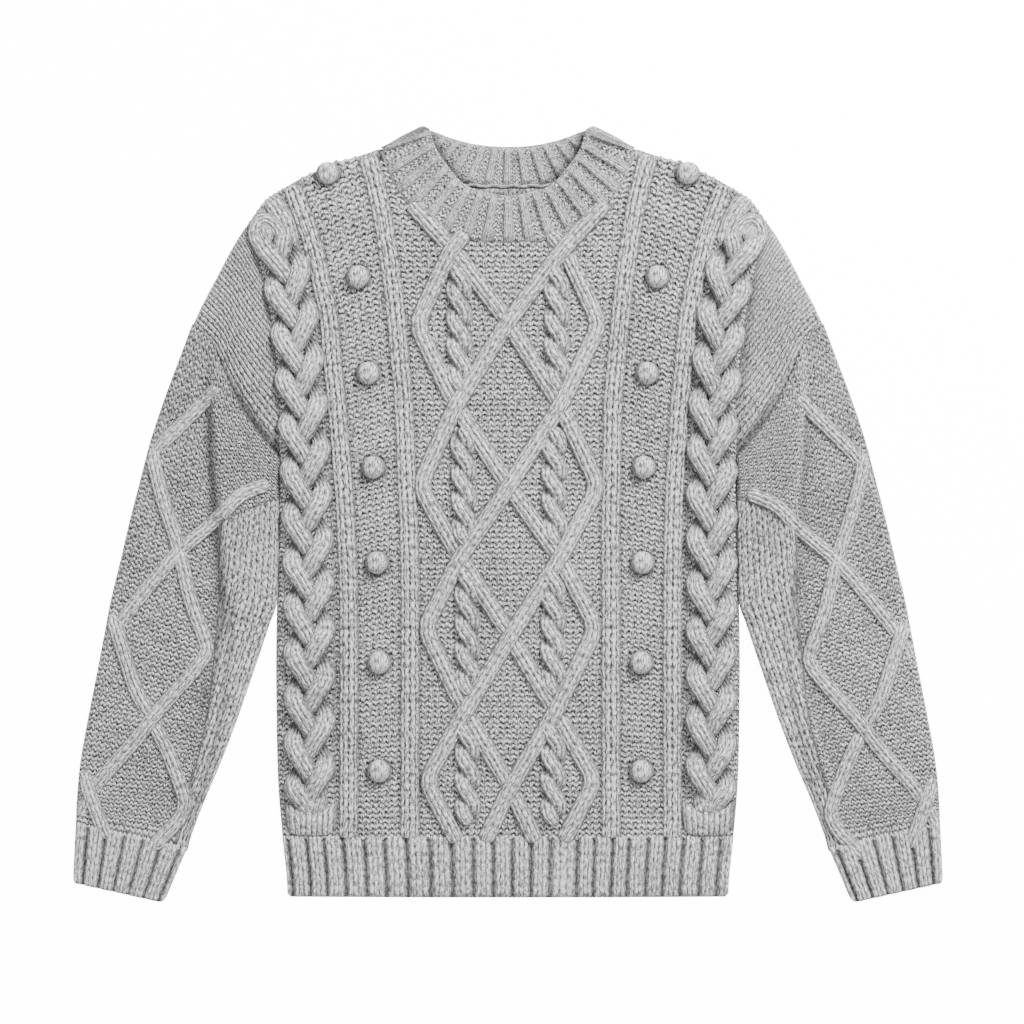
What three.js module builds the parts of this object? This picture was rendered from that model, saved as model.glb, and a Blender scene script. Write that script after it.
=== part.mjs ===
// A cable knit sweater, laid flat on its back with its sleeves beside it.
// Millimetres, +Z up, +Y towards the neck. The origin is under the middle of the garment's box,
// on the surface that the back panel rests on.
import * as THREE from "three";

// Driving sizes of the garment
const WALL = 3;
const SEAM_GAP = 0.3;
const EDGE_DROP = 2.2;
const EDGE_ROUND = 4;
const HEM_TOP = -270;
const HEM_BOTTOM = -321;
const HEM_BOW = 0.7;
const PATTERN_SHIFT = 2;
const FRONT_INSIDE = WALL + SEAM_GAP;
const FRONT_FACE = FRONT_INSIDE + WALL;
// Steps in which a line is followed up to the edge that it meets
const SEARCH_STEP = 0.5;

// Sizes of the raised stitches
const BRAID_RISE = 6;
const BRAID_LEAF = 38;
const BRAID_SLANT = 0.9;
const BRAID_DIP = 0.55;
const BRAID_LINES = 7;
const RIB_RISE = 2.8;
const RIB_HALF = 8.4;
const STRAND_RISE = 4.6;
const STRAND_HALF = 7.6;
const ROPE_RISE = 3.6;
const ROPE_TWIST = 23;
const ROPE_SWAY = 3.85;
const ROPE_STRAND_HALF = 6.6;
const BOBBLE_RADIUS = 10.2;
const BOBBLE_RISE = 8.5;
const SHOULDER_PUFF = 4.5;
const PUFF_START = 30;
// Shares of the way from the braid out to the shoulder tip
const SHOULDER_COLUMNS = [0.86, 0.66, 0.44, 0.22];
const LATTICE_HALF_COLUMNS = 12;

// Sizes of the sleeve, its cuff, the hem ribs and the neckband
const SLEEVE_WALL = 2.6;
const SLEEVE_HOLLOW = 0.8;
const SLEEVE_TOP = 6.1;
const SLEEVE_EDGE_TOP = 5.1;
const SLEEVE_SEAM_GAP = 1.9;
const SLEEVE_SEAM_END = 0.3;
const SLEEVE_BOW = 0.4;
const SLEEVE_FOLD = 5;
const SLEEVE_STRAND_RISE = 3.4;
const SLEEVE_STRAND_HALF = 6.6;
const SLEEVE_PATTERN_DROP = 8;
const CUFF_RIBS = 6;
const HEM_RIBS = 24;
const HEM_CORNER = 3;
const EDGE_RIB_RISE = 2.4;
const EDGE_RIB_SINK = 0.6;
const BAND_WALL = 3.2;
const BAND_RIBS_FRONT = 16;
const BAND_RIBS_BACK = 12;
const BAND_RIB_RISE = 1.6;
const BAND_FOLD = 2.3;
const BAND_RIM_RISE = 1.6;
const BAND_GAP = 0.6;
const BAND_PINCH = 0.3;
const BAND_SPREAD = Math.PI / 2.15;

// Colours of the yarn, one shade for each group of pieces
const YARN = { body: 0xa6a7a9, sleeve: 0x9fa0a3, rib: 0xb0b1b3, bobble: 0xb8b9bb };

// A smooth function through rows of key and value, held level past both ends
function through(rows) {
  const sorted = [...rows].sort((a, b) => a[0] - b[0]);
  const last = sorted.length - 1;
  const slope = (i) => {
    const a = sorted[Math.max(i - 1, 0)];
    const b = sorted[Math.min(i + 1, last)];
    return (b[1] - a[1]) / (b[0] - a[0]);
  };
  return (key) => {
    if (key <= sorted[0][0]) return sorted[0][1];
    if (key >= sorted[last][0]) return sorted[last][1];
    const i = sorted.findIndex((row, n) => n < last && key < sorted[n + 1][0]);
    const step = sorted[i + 1][0] - sorted[i][0];
    const t = (key - sorted[i][0]) / step;
    const rise = sorted[i + 1][1] - sorted[i][1];
    const startBend = slope(i) * step - rise;
    const endBend = rise - slope(i + 1) * step;
    return sorted[i][1] + rise * t + t * (1 - t) * (startBend * (1 - t) + endBend * t);
  };
}

const clamp = THREE.MathUtils.clamp;
const lerp = THREE.MathUtils.lerp;
const smoothstep = THREE.MathUtils.smoothstep;

// Distance from the garment's middle line of each line of the pattern, for heights above the middle
// Columns: height y, distance x
const SIDE = through([[-330, 185.5], [-307, 186], [-273, 189.5], [-223, 193.5], [-155, 195],
  [-105, 195], [-38, 193.5], [48, 193]]);
const BRAID_OUTER = through([[-300, 190], [-105, 190.5], [29, 190.5], [97, 191], [130, 194.5],
  [155, 197], [181, 202], [197, 205], [223, 211], [260, 222]]);
const BRAID_INNER = through([[-300, 147], [-105, 147], [-38, 148], [29, 150], [63, 152], [97, 155],
  [130, 157], [164, 160], [197, 164.5], [214, 169], [231, 175], [270, 190]]);
const OUTER_RIB = through([[-300, 136], [-71, 136], [13, 138.5], [63, 142], [97, 144.5], [130, 148],
  [164, 151], [197, 157.5], [231, 165.5], [265, 177.5], [300, 190]]);
const INNER_RIB = through([[-300, 84.5], [-21, 84.5], [29, 86], [97, 88], [130, 91], [164, 94],
  [197, 97.5], [231, 102.5], [265, 108.5], [298, 117], [315, 122]]);

// The shoulder edge, from the neck point out to the shoulder tip, and the armhole seam below it
// Columns: distance x, height y
const SHOULDER_TIP = { x: 265, y: 160 };
const SHOULDER = through([[107, 308.5], [126, 302], [143, 297], [159, 290.5], [173, 284], [192, 273],
  [204.5, 264.5], [215, 250], [225, 236], [236, 217], [247, 196], [257, 177], [265, 160]]);
const UNDERARM = { x: 193, y: 46 };
const ARMHOLE = through([[193, 46], [210, 69], [225, 93], [237, 117], [246, 138], [255, 149.5],
  [265, 160]]);
// The neckline of the front, where the band is sewn on
const NECK_POINT = { x: 107, y: 308.5 };
const FRONT_NECK = through([[0, 229], [25, 230.5], [46, 236], [63, 244.5], [76, 255], [92, 273],
  [102, 294], [107, 308.5]]);
// The neckline of the back, and the upper edge of the band in front and behind
const BACK_NECK = through([[0, 276], [42, 278], [76, 290], [107, 308.5]]);
const RIM_POINT = { x: 66, y: 325 };
const FRONT_RIM = through([[0, 267.5], [13.4, 269.6], [36, 277], [50.7, 293], [60.5, 308],
  [66, 325]]);
const BACK_RIM = (x) => 310 + 15 * (x / RIM_POINT.x) ** 2;
// The section of the band. Columns: share of the way from seam to rim, side of the wall
const BAND_PROFILE = [[0.02, 1], [0.12, 1], [0.85, 1], [0.97, 0.6], [0.99, -0.6], [0.88, -1],
  [0.1, -1], [0, -0.9]];

// The braid ends under a rounded cap at the shoulder and in a wrapped tie above the hem
const BRAID_TIE = { y: -258, half: 10 };
// Two strands of the lattice, which cross each other and their mirrored twins
// Columns: place x, height y
const LATTICE = [
  [[82, 262], [47, 224], [0, 162], [-44, 92], [-75, 24], [-42, -36], [0, -102], [38, -165], [71, -223],
    [44, -275]],
  [[35, 237], [47, 224], [77, 160], [44, 92], [0, 24], [-42, -36], [-72, -95], [-38, -165], [0, -229],
    [22, -275]],
];
// The small ropes inside the diamonds
const ROPES = [
  { x: 41, low: 109, high: 207 },
  { x: 38, low: -21, high: 71 },
  { x: 36, low: -147, high: -46 },
  { x: 36, low: -256, high: -176 },
];
const BOBBLES = [
  { x: 151, y: 287 }, { x: 125.5, y: 200 }, { x: 117, y: 119 }, { x: 113.5, y: 40 },
  { x: 111.5, y: -40 }, { x: 110, y: -124 }, { x: 110, y: -215 },
];

// A line given by rows of share of the way, distance x and height y, as a function of the share
function edgeLine(rows) {
  const x = through(rows.map((row) => [row[0], row[1]]));
  const y = through(rows.map((row) => [row[0], row[2]]));
  return (s) => [x(s), y(s)];
}

// Outline of the sleeve, outer edge and inner edge, from the shoulder down to the cuff
const SLEEVE_OUTER = edgeLine([[0, 265, 160], [0.06, 276.5, 130], [0.13, 289, 97], [0.2, 300.5, 63],
  [0.28, 309.5, 29], [0.36, 318, -4], [0.44, 326, -38], [0.52, 334, -71], [0.6, 340.5, -105],
  [0.68, 347, -139], [0.76, 353.5, -172], [0.84, 359.5, -206], [0.92, 362.5, -236],
  [1, 363.5, -257]]);
const SLEEVE_INNER = edgeLine([[0, 193.3, 45.5], [0.14, 194, 10], [0.28, 194.3, -34], [0.42, 196.3, -80],
  [0.5, 203.5, -105], [0.6, 215, -139], [0.7, 226.5, -172], [0.8, 239.5, -206], [0.9, 254, -240],
  [1, 269, -279]]);
// Crest of the long fold that runs down the sleeve. Columns: share of the way s, place across u
const FOLD_CREST = through([[0, 0.3], [0.05, 0.35], [0.1, 0.436], [0.15, 0.5], [0.2, 0.56],
  [0.255, 0.6], [0.3, 0.63], [0.4, 0.7], [0.5, 0.77], [0.6, 0.8], [1, 0.8]]);
const FOLD_HALF = 0.09;
const FOLD_HEIGHT = through([[0, 0.5], [0.1, 1], [0.45, 1], [0.75, 0.45], [1, 0]]);
// The lattice on the sleeve. Columns: distance x, height y
const SLEEVE_STRANDS = [
  [[245, 105], [271, 79], [296, 54]],
  [[304, 66], [290, 13], [277, -25], [267, -71], [255, -103], [252, -116], [268, -136], [297, -168],
    [309, -185], [343, -223], [351, -237], [362, -254]],
  [[186, 27], [205, 25], [225, 17], [240, 0], [277, -31], [301, -59], [324, -88], [343, -113]],
  [[333, -71], [326, -105], [313, -147], [301, -168], [288, -193], [276, -223], [270, -242],
    [276, -256], [292, -273]],
  [[359, -208], [351, -231], [343, -256], [338, -268]],
];
const CUFF_OUTER = edgeLine([[0, 363.5, -257.4], [1, 366, -309]]);
const CUFF_INNER = edgeLine([[0, 269.2, -279.4], [1, 289, -326]]);

// Section of a flattened tube, as shares of the way round it: up to half over the top, then below
const TUBE_EDGE = 0.012;
const TUBE_UNDER = [0.5, 0.52, 0.63, 0.75, 0.87, 0.98];
const TUBE_INSIDE = [0.015, 0.1, 0.2, 0.3, 0.4, 0.485, 0.6, 0.75, 0.9];

// A mesh in the making: points, and triangles that name them
class Surface {
  constructor() {
    this.points = [];
    this.faces = [];
  }

  add(x, y, z) {
    this.points.push([x, y, z]);
    return this.points.length - 1;
  }

  quad(a, b, c, d) {
    this.faces.push([a, b, c], [a, c, d]);
  }

  // Joins two rows of points that hold different numbers of them, in the order of their keys
  zip(left, right, leftKeys, rightKeys, turned = false) {
    let i = 0;
    let j = 0;
    while (i < left.length - 1 || j < right.length - 1) {
      const moveLeft = j === right.length - 1 ||
        (i < left.length - 1 && leftKeys[i + 1] <= rightKeys[j + 1]);
      const face = moveLeft ? [left[i], right[j], left[i + 1]] : [left[i], right[j], right[j + 1]];
      if (moveLeft) i += 1;
      else j += 1;
      this.faces.push(turned ? face.reverse() : face);
    }
  }

  // The points round the surface's free edge, in order
  rim() {
    const next = new Map();
    const seen = new Set();
    for (const [a, b, c] of this.faces) {
      for (const [from, to] of [[a, b], [b, c], [c, a]]) seen.add(from + "," + to);
    }
    for (const edge of seen) {
      const [from, to] = edge.split(",").map(Number);
      if (!seen.has(to + "," + from)) next.set(from, to);
    }
    const start = next.keys().next().value;
    const loop = [start];
    for (let at = next.get(start); at !== start; at = next.get(at)) loop.push(at);
    return loop;
  }

  // Closes an upper surface into a wall with a plain underside at the given height
  closeDown(height) {
    const loop = this.rim();
    const flat = loop.map((n) => new THREE.Vector2(this.points[n][0], this.points[n][1]));
    const under = flat.map((p) => this.add(p.x, p.y, height));
    loop.forEach((top, i) => {
      const k = (i + 1) % loop.length;
      this.quad(loop[k], top, under[i], under[k]);
    });
    for (const [a, b, c] of THREE.ShapeUtils.triangulateShape(flat, [])) {
      this.faces.push([under[c], under[b], under[a]]);
    }
  }

  mesh(name, colour) {
    const volume = this.faces.reduce((sum, [a, b, c]) => {
      const [p, q, r] = [a, b, c].map((n) => new THREE.Vector3(...this.points[n]));
      return sum + p.dot(q.cross(r));
    }, 0);
    const faces = volume < 0 ? this.faces.map(([a, b, c]) => [a, c, b]) : this.faces;
    const geometry = new THREE.BufferGeometry();
    geometry.setAttribute("position", new THREE.Float32BufferAttribute(this.points.flat(), 3));
    geometry.setIndex(faces.flat());
    return named(name, geometry, colour);
  }
}

function named(name, geometry, color) {
  geometry.computeVertexNormals();
  const material = new THREE.MeshStandardMaterial({ color, roughness: 0.95, metalness: 0 });
  const mesh = new THREE.Mesh(geometry, material);
  mesh.name = name;
  return mesh;
}

// Height of the panel's upper end over a place across it: neckline in the middle, shoulder outside
function topEdge(x, neck) {
  const out = Math.abs(x);
  return out < NECK_POINT.x ? neck(out) : SHOULDER(out);
}

// The pattern stands a little off the middle line below the chest
function patternShift(y) {
  return PATTERN_SHIFT * (1 - smoothstep(y, -100, 120));
}

function hemEdge(x, height) {
  return height - HEM_BOW * Math.cos((x / SIDE(HEM_TOP)) * (Math.PI / 2));
}

// Distance from a place to a strand, measured across it
function distanceTo(line, x, y) {
  let nearest = Infinity;
  for (let i = 0; i < line.length - 1; i += 1) {
    const [ax, ay] = line[i];
    const [bx, by] = line[i + 1];
    const length = (bx - ax) ** 2 + (by - ay) ** 2;
    const t = clamp(((x - ax) * (bx - ax) + (y - ay) * (by - ay)) / length, 0, 1);
    nearest = Math.min(nearest, Math.hypot(x - lerp(ax, bx, t), y - lerp(ay, by, t)));
  }
  return nearest;
}

// Outline of a half round strand at a distance from its middle
function strandHeight(distance, half, rise) {
  return distance < half ? rise * Math.sqrt(1 - (distance / half) ** 2) : 0;
}

// Height that the lattice and its small ropes stand above the plain knit
function latticeRelief(x, y) {
  const heights = LATTICE.flatMap((line) => [
    strandHeight(distanceTo(line, x, y), STRAND_HALF, STRAND_RISE),
    strandHeight(distanceTo(line, -x, y), STRAND_HALF, STRAND_RISE),
  ]);
  for (const rope of ROPES) {
    if (y < rope.low || y > rope.high) continue;
    const sway = Math.sin(((y - rope.low) / ROPE_TWIST) * Math.PI) * ROPE_SWAY;
    for (const side of [-1, 1]) {
      const off = Math.abs(Math.abs(x) - rope.x - side * sway);
      heights.push(strandHeight(off, ROPE_STRAND_HALF, ROPE_RISE));
    }
  }
  return Math.max(...heights);
}

// Height of the three-strand braid: leaves that slope down to the middle from both sides
function braidRelief(across, y) {
  const tie = Math.abs(y - BRAID_TIE.y);
  const crown = Math.sqrt(Math.max(0, 1 - Math.abs(across) ** 3));
  if (tie < BRAID_TIE.half) return BRAID_RISE * crown;
  const phase = y / BRAID_LEAF - Math.abs(across) * BRAID_SLANT + (across > 0 ? 0.5 : 0);
  const leaf = Math.sqrt(Math.abs(Math.sin(Math.PI * phase)));
  return BRAID_RISE * crown * (1 - BRAID_DIP + BRAID_DIP * leaf);
}

// Lines of points up the front. Each has a place across it for a height, and its own relief
// side is -1 on the left and 1 on the right, as the garment lies
function frontLines(side) {
  const lines = [];
  const line = (place, relief, step) => lines.push({ place, relief, step });
  const border = 2.5;
  const sideAt = (y) => (y < UNDERARM.y ? SIDE(y) : BRAID_OUTER(y) + border);
  const outer = (y) => Math.min(BRAID_OUTER(y) + side * patternShift(y), sideAt(y) - border);
  const seamRelief = (y) => (y > UNDERARM.y + 2 * border ? 0 : -EDGE_DROP);
  line((y) => sideAt(y), seamRelief, BRAID_LEAF / 3);
  for (let i = 0; i < BRAID_LINES; i += 1) {
    const across = 1 - (2 * i) / (BRAID_LINES - 1);
    line(
      (y) => lerp(BRAID_INNER(y) + side * patternShift(y), outer(y), (across + 1) / 2),
      (y) => braidRelief(across * side, y),
      BRAID_LEAF / 4,
    );
  }
  // Columns: place across the rib, share of its rise
  const ribSection = [[1, 0], [0.6, 1], [0, 0.55], [-0.6, 1], [-1, 0]];
  for (const middle of [OUTER_RIB, INNER_RIB]) {
    for (const [off, share] of ribSection) {
      line(
        (y) => middle(y) + side * patternShift(y) + off * RIB_HALF,
        () => share * RIB_RISE,
        BRAID_LEAF / 1.5,
      );
    }
  }
  return lines;
}

// Heights of the points on one line of the front, from its lower end to its upper end
function heightsOf(line, side, low) {
  const at = (y) => side * line.place(y);
  let high = low;
  while (high < NECK_POINT.y && high < topEdge(at(high), FRONT_NECK)) high += SEARCH_STEP;
  const count = Math.max(2, Math.round((high - low) / line.step));
  const even = Array.from({ length: count + 1 }, (none, i) => lerp(low, high, i / count));
  const inner = even.slice(1, -1).filter((y) => y < high - EDGE_ROUND * 1.5);
  return [low, ...inner, high - EDGE_ROUND, high];
}

function frontPanel() {
  const surface = new Surface();
  const column = (line, side, low) => {
    const heights = heightsOf(line, side, low);
    const ids = heights.map((y, i) => {
      const x = side * line.place(y);
      const end = i === heights.length - 1 || (i === 0 && low <= HEM_TOP);
      const rise = end ? -EDGE_DROP : line.relief(y);
      const foot = i === 0 && low <= HEM_TOP ? hemEdge(x, low) + HEM_BOW : y;
      return surface.add(x, foot, FRONT_FACE + rise);
    });
    return { ids, heights };
  };
  const shoulderColumns = (side) => SHOULDER_COLUMNS.map((share) => {
    const spread = SHOULDER_TIP.x - BRAID_OUTER(SHOULDER_TIP.y);
    const place = (y) => BRAID_OUTER(y) + share * spread;
    let low = UNDERARM.y;
    while (low < ARMHOLE(place(low))) low += SEARCH_STEP;
    const puff = (y) =>
      SHOULDER_PUFF * Math.sin(Math.PI * share) * smoothstep(y, low, low + PUFF_START);
    const made = column({ place, relief: puff, step: PUFF_START * 0.7 }, side, low);
    surface.points[made.ids[0]][2] = FRONT_FACE - EDGE_DROP;
    return made;
  });
  const tip = (side) => {
    const id = surface.add(side * SHOULDER_TIP.x, SHOULDER_TIP.y, FRONT_FACE - EDGE_DROP);
    return { ids: [id], heights: [SHOULDER_TIP.y] };
  };
  const middle = [];
  const rowStep = STRAND_HALF * 1.13;
  for (let i = 1 - LATTICE_HALF_COLUMNS; i < LATTICE_HALF_COLUMNS; i += 1) {
    const share = i / LATTICE_HALF_COLUMNS;
    const edge = (y) => INNER_RIB(y) - RIB_HALF;
    middle.push(column({
      place: (y) => share * edge(y) + patternShift(y),
      relief: (y) => latticeRelief(share * edge(y), y),
      step: rowStep,
    }, 1, HEM_TOP));
  }
  const half = (side) => [
    tip(side),
    ...shoulderColumns(side),
    ...frontLines(side).map((line) => column(line, side, HEM_TOP)),
  ];
  const columns = [...half(-1), ...middle, ...half(1).reverse()];
  // The body's side column, which the shoulder columns meet only above the underarm
  const sideIndex = SHOULDER_COLUMNS.length + 1;
  for (let i = 0; i < columns.length - 1; i += 1) {
    const cut = (at) => {
      const outside = at === sideIndex ? i + 1 === at : i === at;
      const from = outside ? columns[at].heights.findIndex((y) => y > UNDERARM.y) : 0;
      return {
        ids: columns[at].ids.slice(from),
        heights: columns[at].heights.slice(from),
      };
    };
    const isLeftSide = i + 1 === sideIndex;
    const isRightSide = i === columns.length - 1 - sideIndex;
    const left = isRightSide ? cut(i) : columns[i];
    const right = isLeftSide ? cut(i + 1) : columns[i + 1];
    surface.zip(left.ids, right.ids, left.heights, right.heights);
  }
  surface.closeDown(FRONT_INSIDE);
  return surface.mesh("front", YARN.body);
}

// A plain wall over an outline, with its edges rounded off by steps of height and inset
function plate(outline, levels) {
  const surface = new Surface();
  const flat = outline.map(([x, y]) => new THREE.Vector2(x, y));
  const rings = levels.map(({ z, inset }) => flat.map((p, i) => {
    const before = flat[(i + flat.length - 1) % flat.length];
    const after = flat[(i + 1) % flat.length];
    const along = after.clone().sub(before).normalize();
    return surface.add(p.x - along.y * inset, p.y + along.x * inset, z);
  }));
  for (let level = 0; level < rings.length - 1; level += 1) {
    rings[level].forEach((a, i) => {
      const k = (i + 1) % flat.length;
      surface.quad(a, rings[level][k], rings[level + 1][k], rings[level + 1][i]);
    });
  }
  for (const [a, b, c] of THREE.ShapeUtils.triangulateShape(flat, [])) {
    const [low, high] = [rings[0], rings[rings.length - 1]];
    surface.faces.push([low[c], low[b], low[a]], [high[a], high[b], high[c]]);
  }
  return surface;
}

const ROUNDED_UNDERSIDE = [{ z: 0, inset: 1.2 }, { z: 1.2, inset: 0 }, { z: WALL, inset: 0 }];

function backPanel() {
  const outline = [];
  const steps = 12;
  for (let i = 0; i <= steps; i += 1) {
    const x = lerp(-SIDE(HEM_TOP), SIDE(HEM_TOP), i / steps);
    outline.push([x, hemEdge(x, HEM_TOP) + HEM_BOW]);
  }
  const half = [];
  const sideStep = 32;
  const armholeInset = 0.8;
  for (let y = HEM_TOP + sideStep; y < UNDERARM.y - 6; y += sideStep) half.push([SIDE(y), y]);
  for (const x of [192, 201, 210, 218, 225, 231, 237, 242, 246, 251, 256]) {
    half.push([x, ARMHOLE(x) + armholeInset]);
  }
  for (const x of [264, 257, 247, 236, 225, 215, 204, 192, 173, 150, 126]) {
    half.push([x, SHOULDER(x)]);
  }
  for (const x of [107, 92, 76, 59, 42, 21]) half.push([x, BACK_NECK(x)]);
  outline.push(...half, [0, BACK_NECK(0)]);
  outline.push(...half.reverse().map(([x, y]) => [-x, y]));
  return plate(outline, ROUNDED_UNDERSIDE).mesh("back", YARN.body);
}

// The ribbed hem, drawn in a little, as a raised front piece over a plain back piece
function hemOutline() {
  const top = [];
  const bottom = [];
  const steps = HEM_RIBS * 3;
  for (let i = 0; i <= steps; i += 1) {
    const share = lerp(-1, 1, i / steps);
    const high = HEM_TOP - SEAM_GAP;
    top.push([share * SIDE(high), hemEdge(share * SIDE(high), high) + HEM_BOW]);
    const corner = Math.max(0, (Math.abs(share) - 1) * SIDE(HEM_BOTTOM) + HEM_CORNER);
    bottom.push([share * SIDE(HEM_BOTTOM), HEM_BOTTOM + corner - HEM_BOW * (1 - share * share)]);
  }
  return { top, bottom, steps };
}

function hemFront() {
  const surface = new Surface();
  const { top, bottom, steps } = hemOutline();
  const rows = [0, 0.06, 0.94, 1];
  const columns = [];
  for (let i = 0; i <= steps; i += 1) {
    const side = i === 0 || i === steps;
    const crest = i % 3 === 0 ? 0 : EDGE_RIB_RISE;
    columns.push(rows.map((share) => {
      const end = side || share === 0 || share === 1;
      const [x, y] = [0, 1].map((axis) => lerp(bottom[i][axis], top[i][axis], share));
      return surface.add(x, y, FRONT_FACE + (end ? -EDGE_DROP : crest - EDGE_RIB_SINK));
    }));
  }
  for (let i = 0; i < steps; i += 1) surface.zip(columns[i], columns[i + 1], rows, rows);
  surface.closeDown(FRONT_INSIDE);
  return surface.mesh("hem_rib_front", YARN.rib);
}

function hemBack() {
  const { top, bottom } = hemOutline();
  const coarse = (row) => row.filter((point, i) => i % 6 === 0);
  const outline = [...coarse(bottom), ...coarse(top).reverse()];
  return plate(outline, ROUNDED_UNDERSIDE).mesh("hem_rib_back", YARN.rib);
}

function bobble(name, x, y) {
  const steps = 5;
  const profile = [new THREE.Vector2(0, 0), new THREE.Vector2(BOBBLE_RADIUS * 0.8, 0)];
  for (let i = 1; i < steps; i += 1) {
    const turn = lerp(0.12, 1, (i - 1) / (steps - 1)) * (Math.PI / 2);
    profile.push(new THREE.Vector2(
      BOBBLE_RADIUS * Math.cos(turn),
      BOBBLE_RISE * Math.sin(turn),
    ));
  }
  profile.push(new THREE.Vector2(0, BOBBLE_RISE));
  const dome = new THREE.LatheGeometry(profile, 9).rotateX(Math.PI / 2);
  const mesh = named(name, dome, YARN.bobble);
  mesh.position.set(x, y, FRONT_FACE + SEAM_GAP);
  return mesh;
}

// A flattened tube between two edges. place gives x, y for a share along s and across u,
// relief the height of the knit there, fold the height of the crease there
function flatTube(name, colour, side, { place, relief, fold, across, along, insideAlong }) {
  const surface = new Surface();
  const outerKeys = [0, TUBE_EDGE];
  for (let i = 1; i < across; i += 1) outerKeys.push(i / across / 2);
  outerKeys.push(0.5 - TUBE_EDGE, ...TUBE_UNDER);
  const shareAcross = (key) => (key <= 0.5 ? key * 2 : (1 - key) * 2);
  const outerHeight = (key, s, u) => {
    if (key > 0.5) return 0;
    if (key === 0 || key === 0.5) return WALL;
    const atEdge = key === TUBE_EDGE || key === 0.5 - TUBE_EDGE;
    return atEdge ? SLEEVE_EDGE_TOP : SLEEVE_TOP + relief(s, u) + fold(s, u);
  };
  const foldShare = 0.6;
  const innerHeight = (key, s, u) =>
    SLEEVE_WALL + (key > 0.5 ? 0 : SLEEVE_HOLLOW + foldShare * fold(s, u));
  const ring = (keys, s, height) => keys.map((key) => {
    const u = shareAcross(key);
    const [x, y] = place(s, u);
    return surface.add(side * x, y, height(key, s, u));
  });
  const rings = (keys, count, height) => Array.from({ length: count + 1 }, (none, i) =>
    ring(keys, i / count, height));
  const skin = (loops, turned) => {
    for (let r = 0; r < loops.length - 1; r += 1) {
      loops[r].forEach((a, i) => {
        const k = (i + 1) % loops[r].length;
        const corners = [a, loops[r + 1][i], loops[r + 1][k], loops[r][k]];
        surface.quad(...(turned ? corners.reverse() : corners));
      });
    }
  };
  const outer = rings(outerKeys, along, outerHeight);
  const inner = rings(TUBE_INSIDE, insideAlong, innerHeight);
  skin(outer, false);
  skin(inner, true);
  const round = (loop) => [...loop, loop[0]];
  const roundKeys = (keys) => [...keys, keys[0] + 1];
  const ends = [[outer[0], inner[0], false], [outer[along], inner[insideAlong], true]];
  for (const [outside, inside, turned] of ends) {
    surface.zip(round(inside), round(outside), roundKeys(TUBE_INSIDE), roundKeys(outerKeys), turned);
  }
  return surface.mesh(name, colour);
}

function sleeve(name, side) {
  const drop = side > 0 ? SLEEVE_PATTERN_DROP : 0;
  const place = (s, u) => {
    const [ox, oy] = SLEEVE_OUTER(s);
    const [ix, iy] = SLEEVE_INNER(s);
    // Near the shoulder the sleeve's end follows the armhole seam
    const bow = Math.max(0, 1 - s / SLEEVE_SEAM_END) ** 2;
    const seam = ARMHOLE(lerp(SHOULDER_TIP.x, UNDERARM.x, u)) - SLEEVE_SEAM_GAP;
    const lift = seam - lerp(SHOULDER_TIP.y, UNDERARM.y, u) - SEAM_GAP * Math.sin(Math.PI * u);
    return [lerp(ox, ix, u) + bow * SLEEVE_BOW, lerp(oy, iy, u) + bow * lift];
  };
  const relief = (s, u) => {
    const [x, y] = place(s, u);
    return Math.max(...SLEEVE_STRANDS.map((line) =>
      strandHeight(distanceTo(line, x, y + drop), SLEEVE_STRAND_HALF, SLEEVE_STRAND_RISE)));
  };
  const fold = (s, u) =>
    SLEEVE_FOLD * FOLD_HEIGHT(s) * Math.exp(-(((u - FOLD_CREST(s)) / FOLD_HALF) ** 2));
  return flatTube(name, YARN.sleeve, side,
    { place, relief, fold, across: 15, along: 44, insideAlong: 12 });
}

function cuff(name, side) {
  const place = (s, u) => {
    const [outerX, outerY] = CUFF_OUTER(s);
    const [innerX, innerY] = CUFF_INNER(s);
    return [lerp(outerX, innerX, u), lerp(outerY, innerY, u)];
  };
  const isValley = (s, u) => Math.round(u * CUFF_RIBS * 3) % 3 === 0 || s === 0 || s === 1;
  const relief = (s, u) => (isValley(s, u) ? 0 : EDGE_RIB_RISE) - EDGE_RIB_SINK;
  return flatTube(name, YARN.rib, side,
    { place, relief, fold: () => 0, across: CUFF_RIBS * 3, along: 4, insideAlong: 2 });
}

// The neckband: a ribbed ring, its front half lying over its back half
// Sections run round the ring, each a loop of points from the sewn seam up to the rim and back
function bandSection(surface, seam, rim, turn, crest) {
  const angle = turn * Math.PI;
  const across = Math.sin(angle);
  const outward = new THREE.Vector3(seam.side * across, 0.5 * across, Math.cos(angle));
  const isUpper = turn < 0.5;
  return BAND_PROFILE.map(([along, face]) => {
    const half = face * (BAND_WALL / 2);
    // The fold is wide at the rim and pinched where the band's two halves meet at the shoulder
    const reach = (half + BAND_FOLD * across) * lerp(BAND_PINCH, 1, along);
    const isRibbed = face > 0 === isUpper && along > 0.05 && along < 0.95;
    const rise = (isUpper ? BAND_RIM_RISE * along : 0) + (isRibbed ? crest : 0);
    const middle = BAND_WALL / 2 + BAND_FOLD + BAND_FOLD * Math.cos(angle);
    return surface.add(
      lerp(seam.x, rim.x, along) + outward.x * reach,
      lerp(seam.y, rim.y, along) + outward.y * reach,
      middle + rise + outward.z * half,
    );
  });
}

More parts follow.
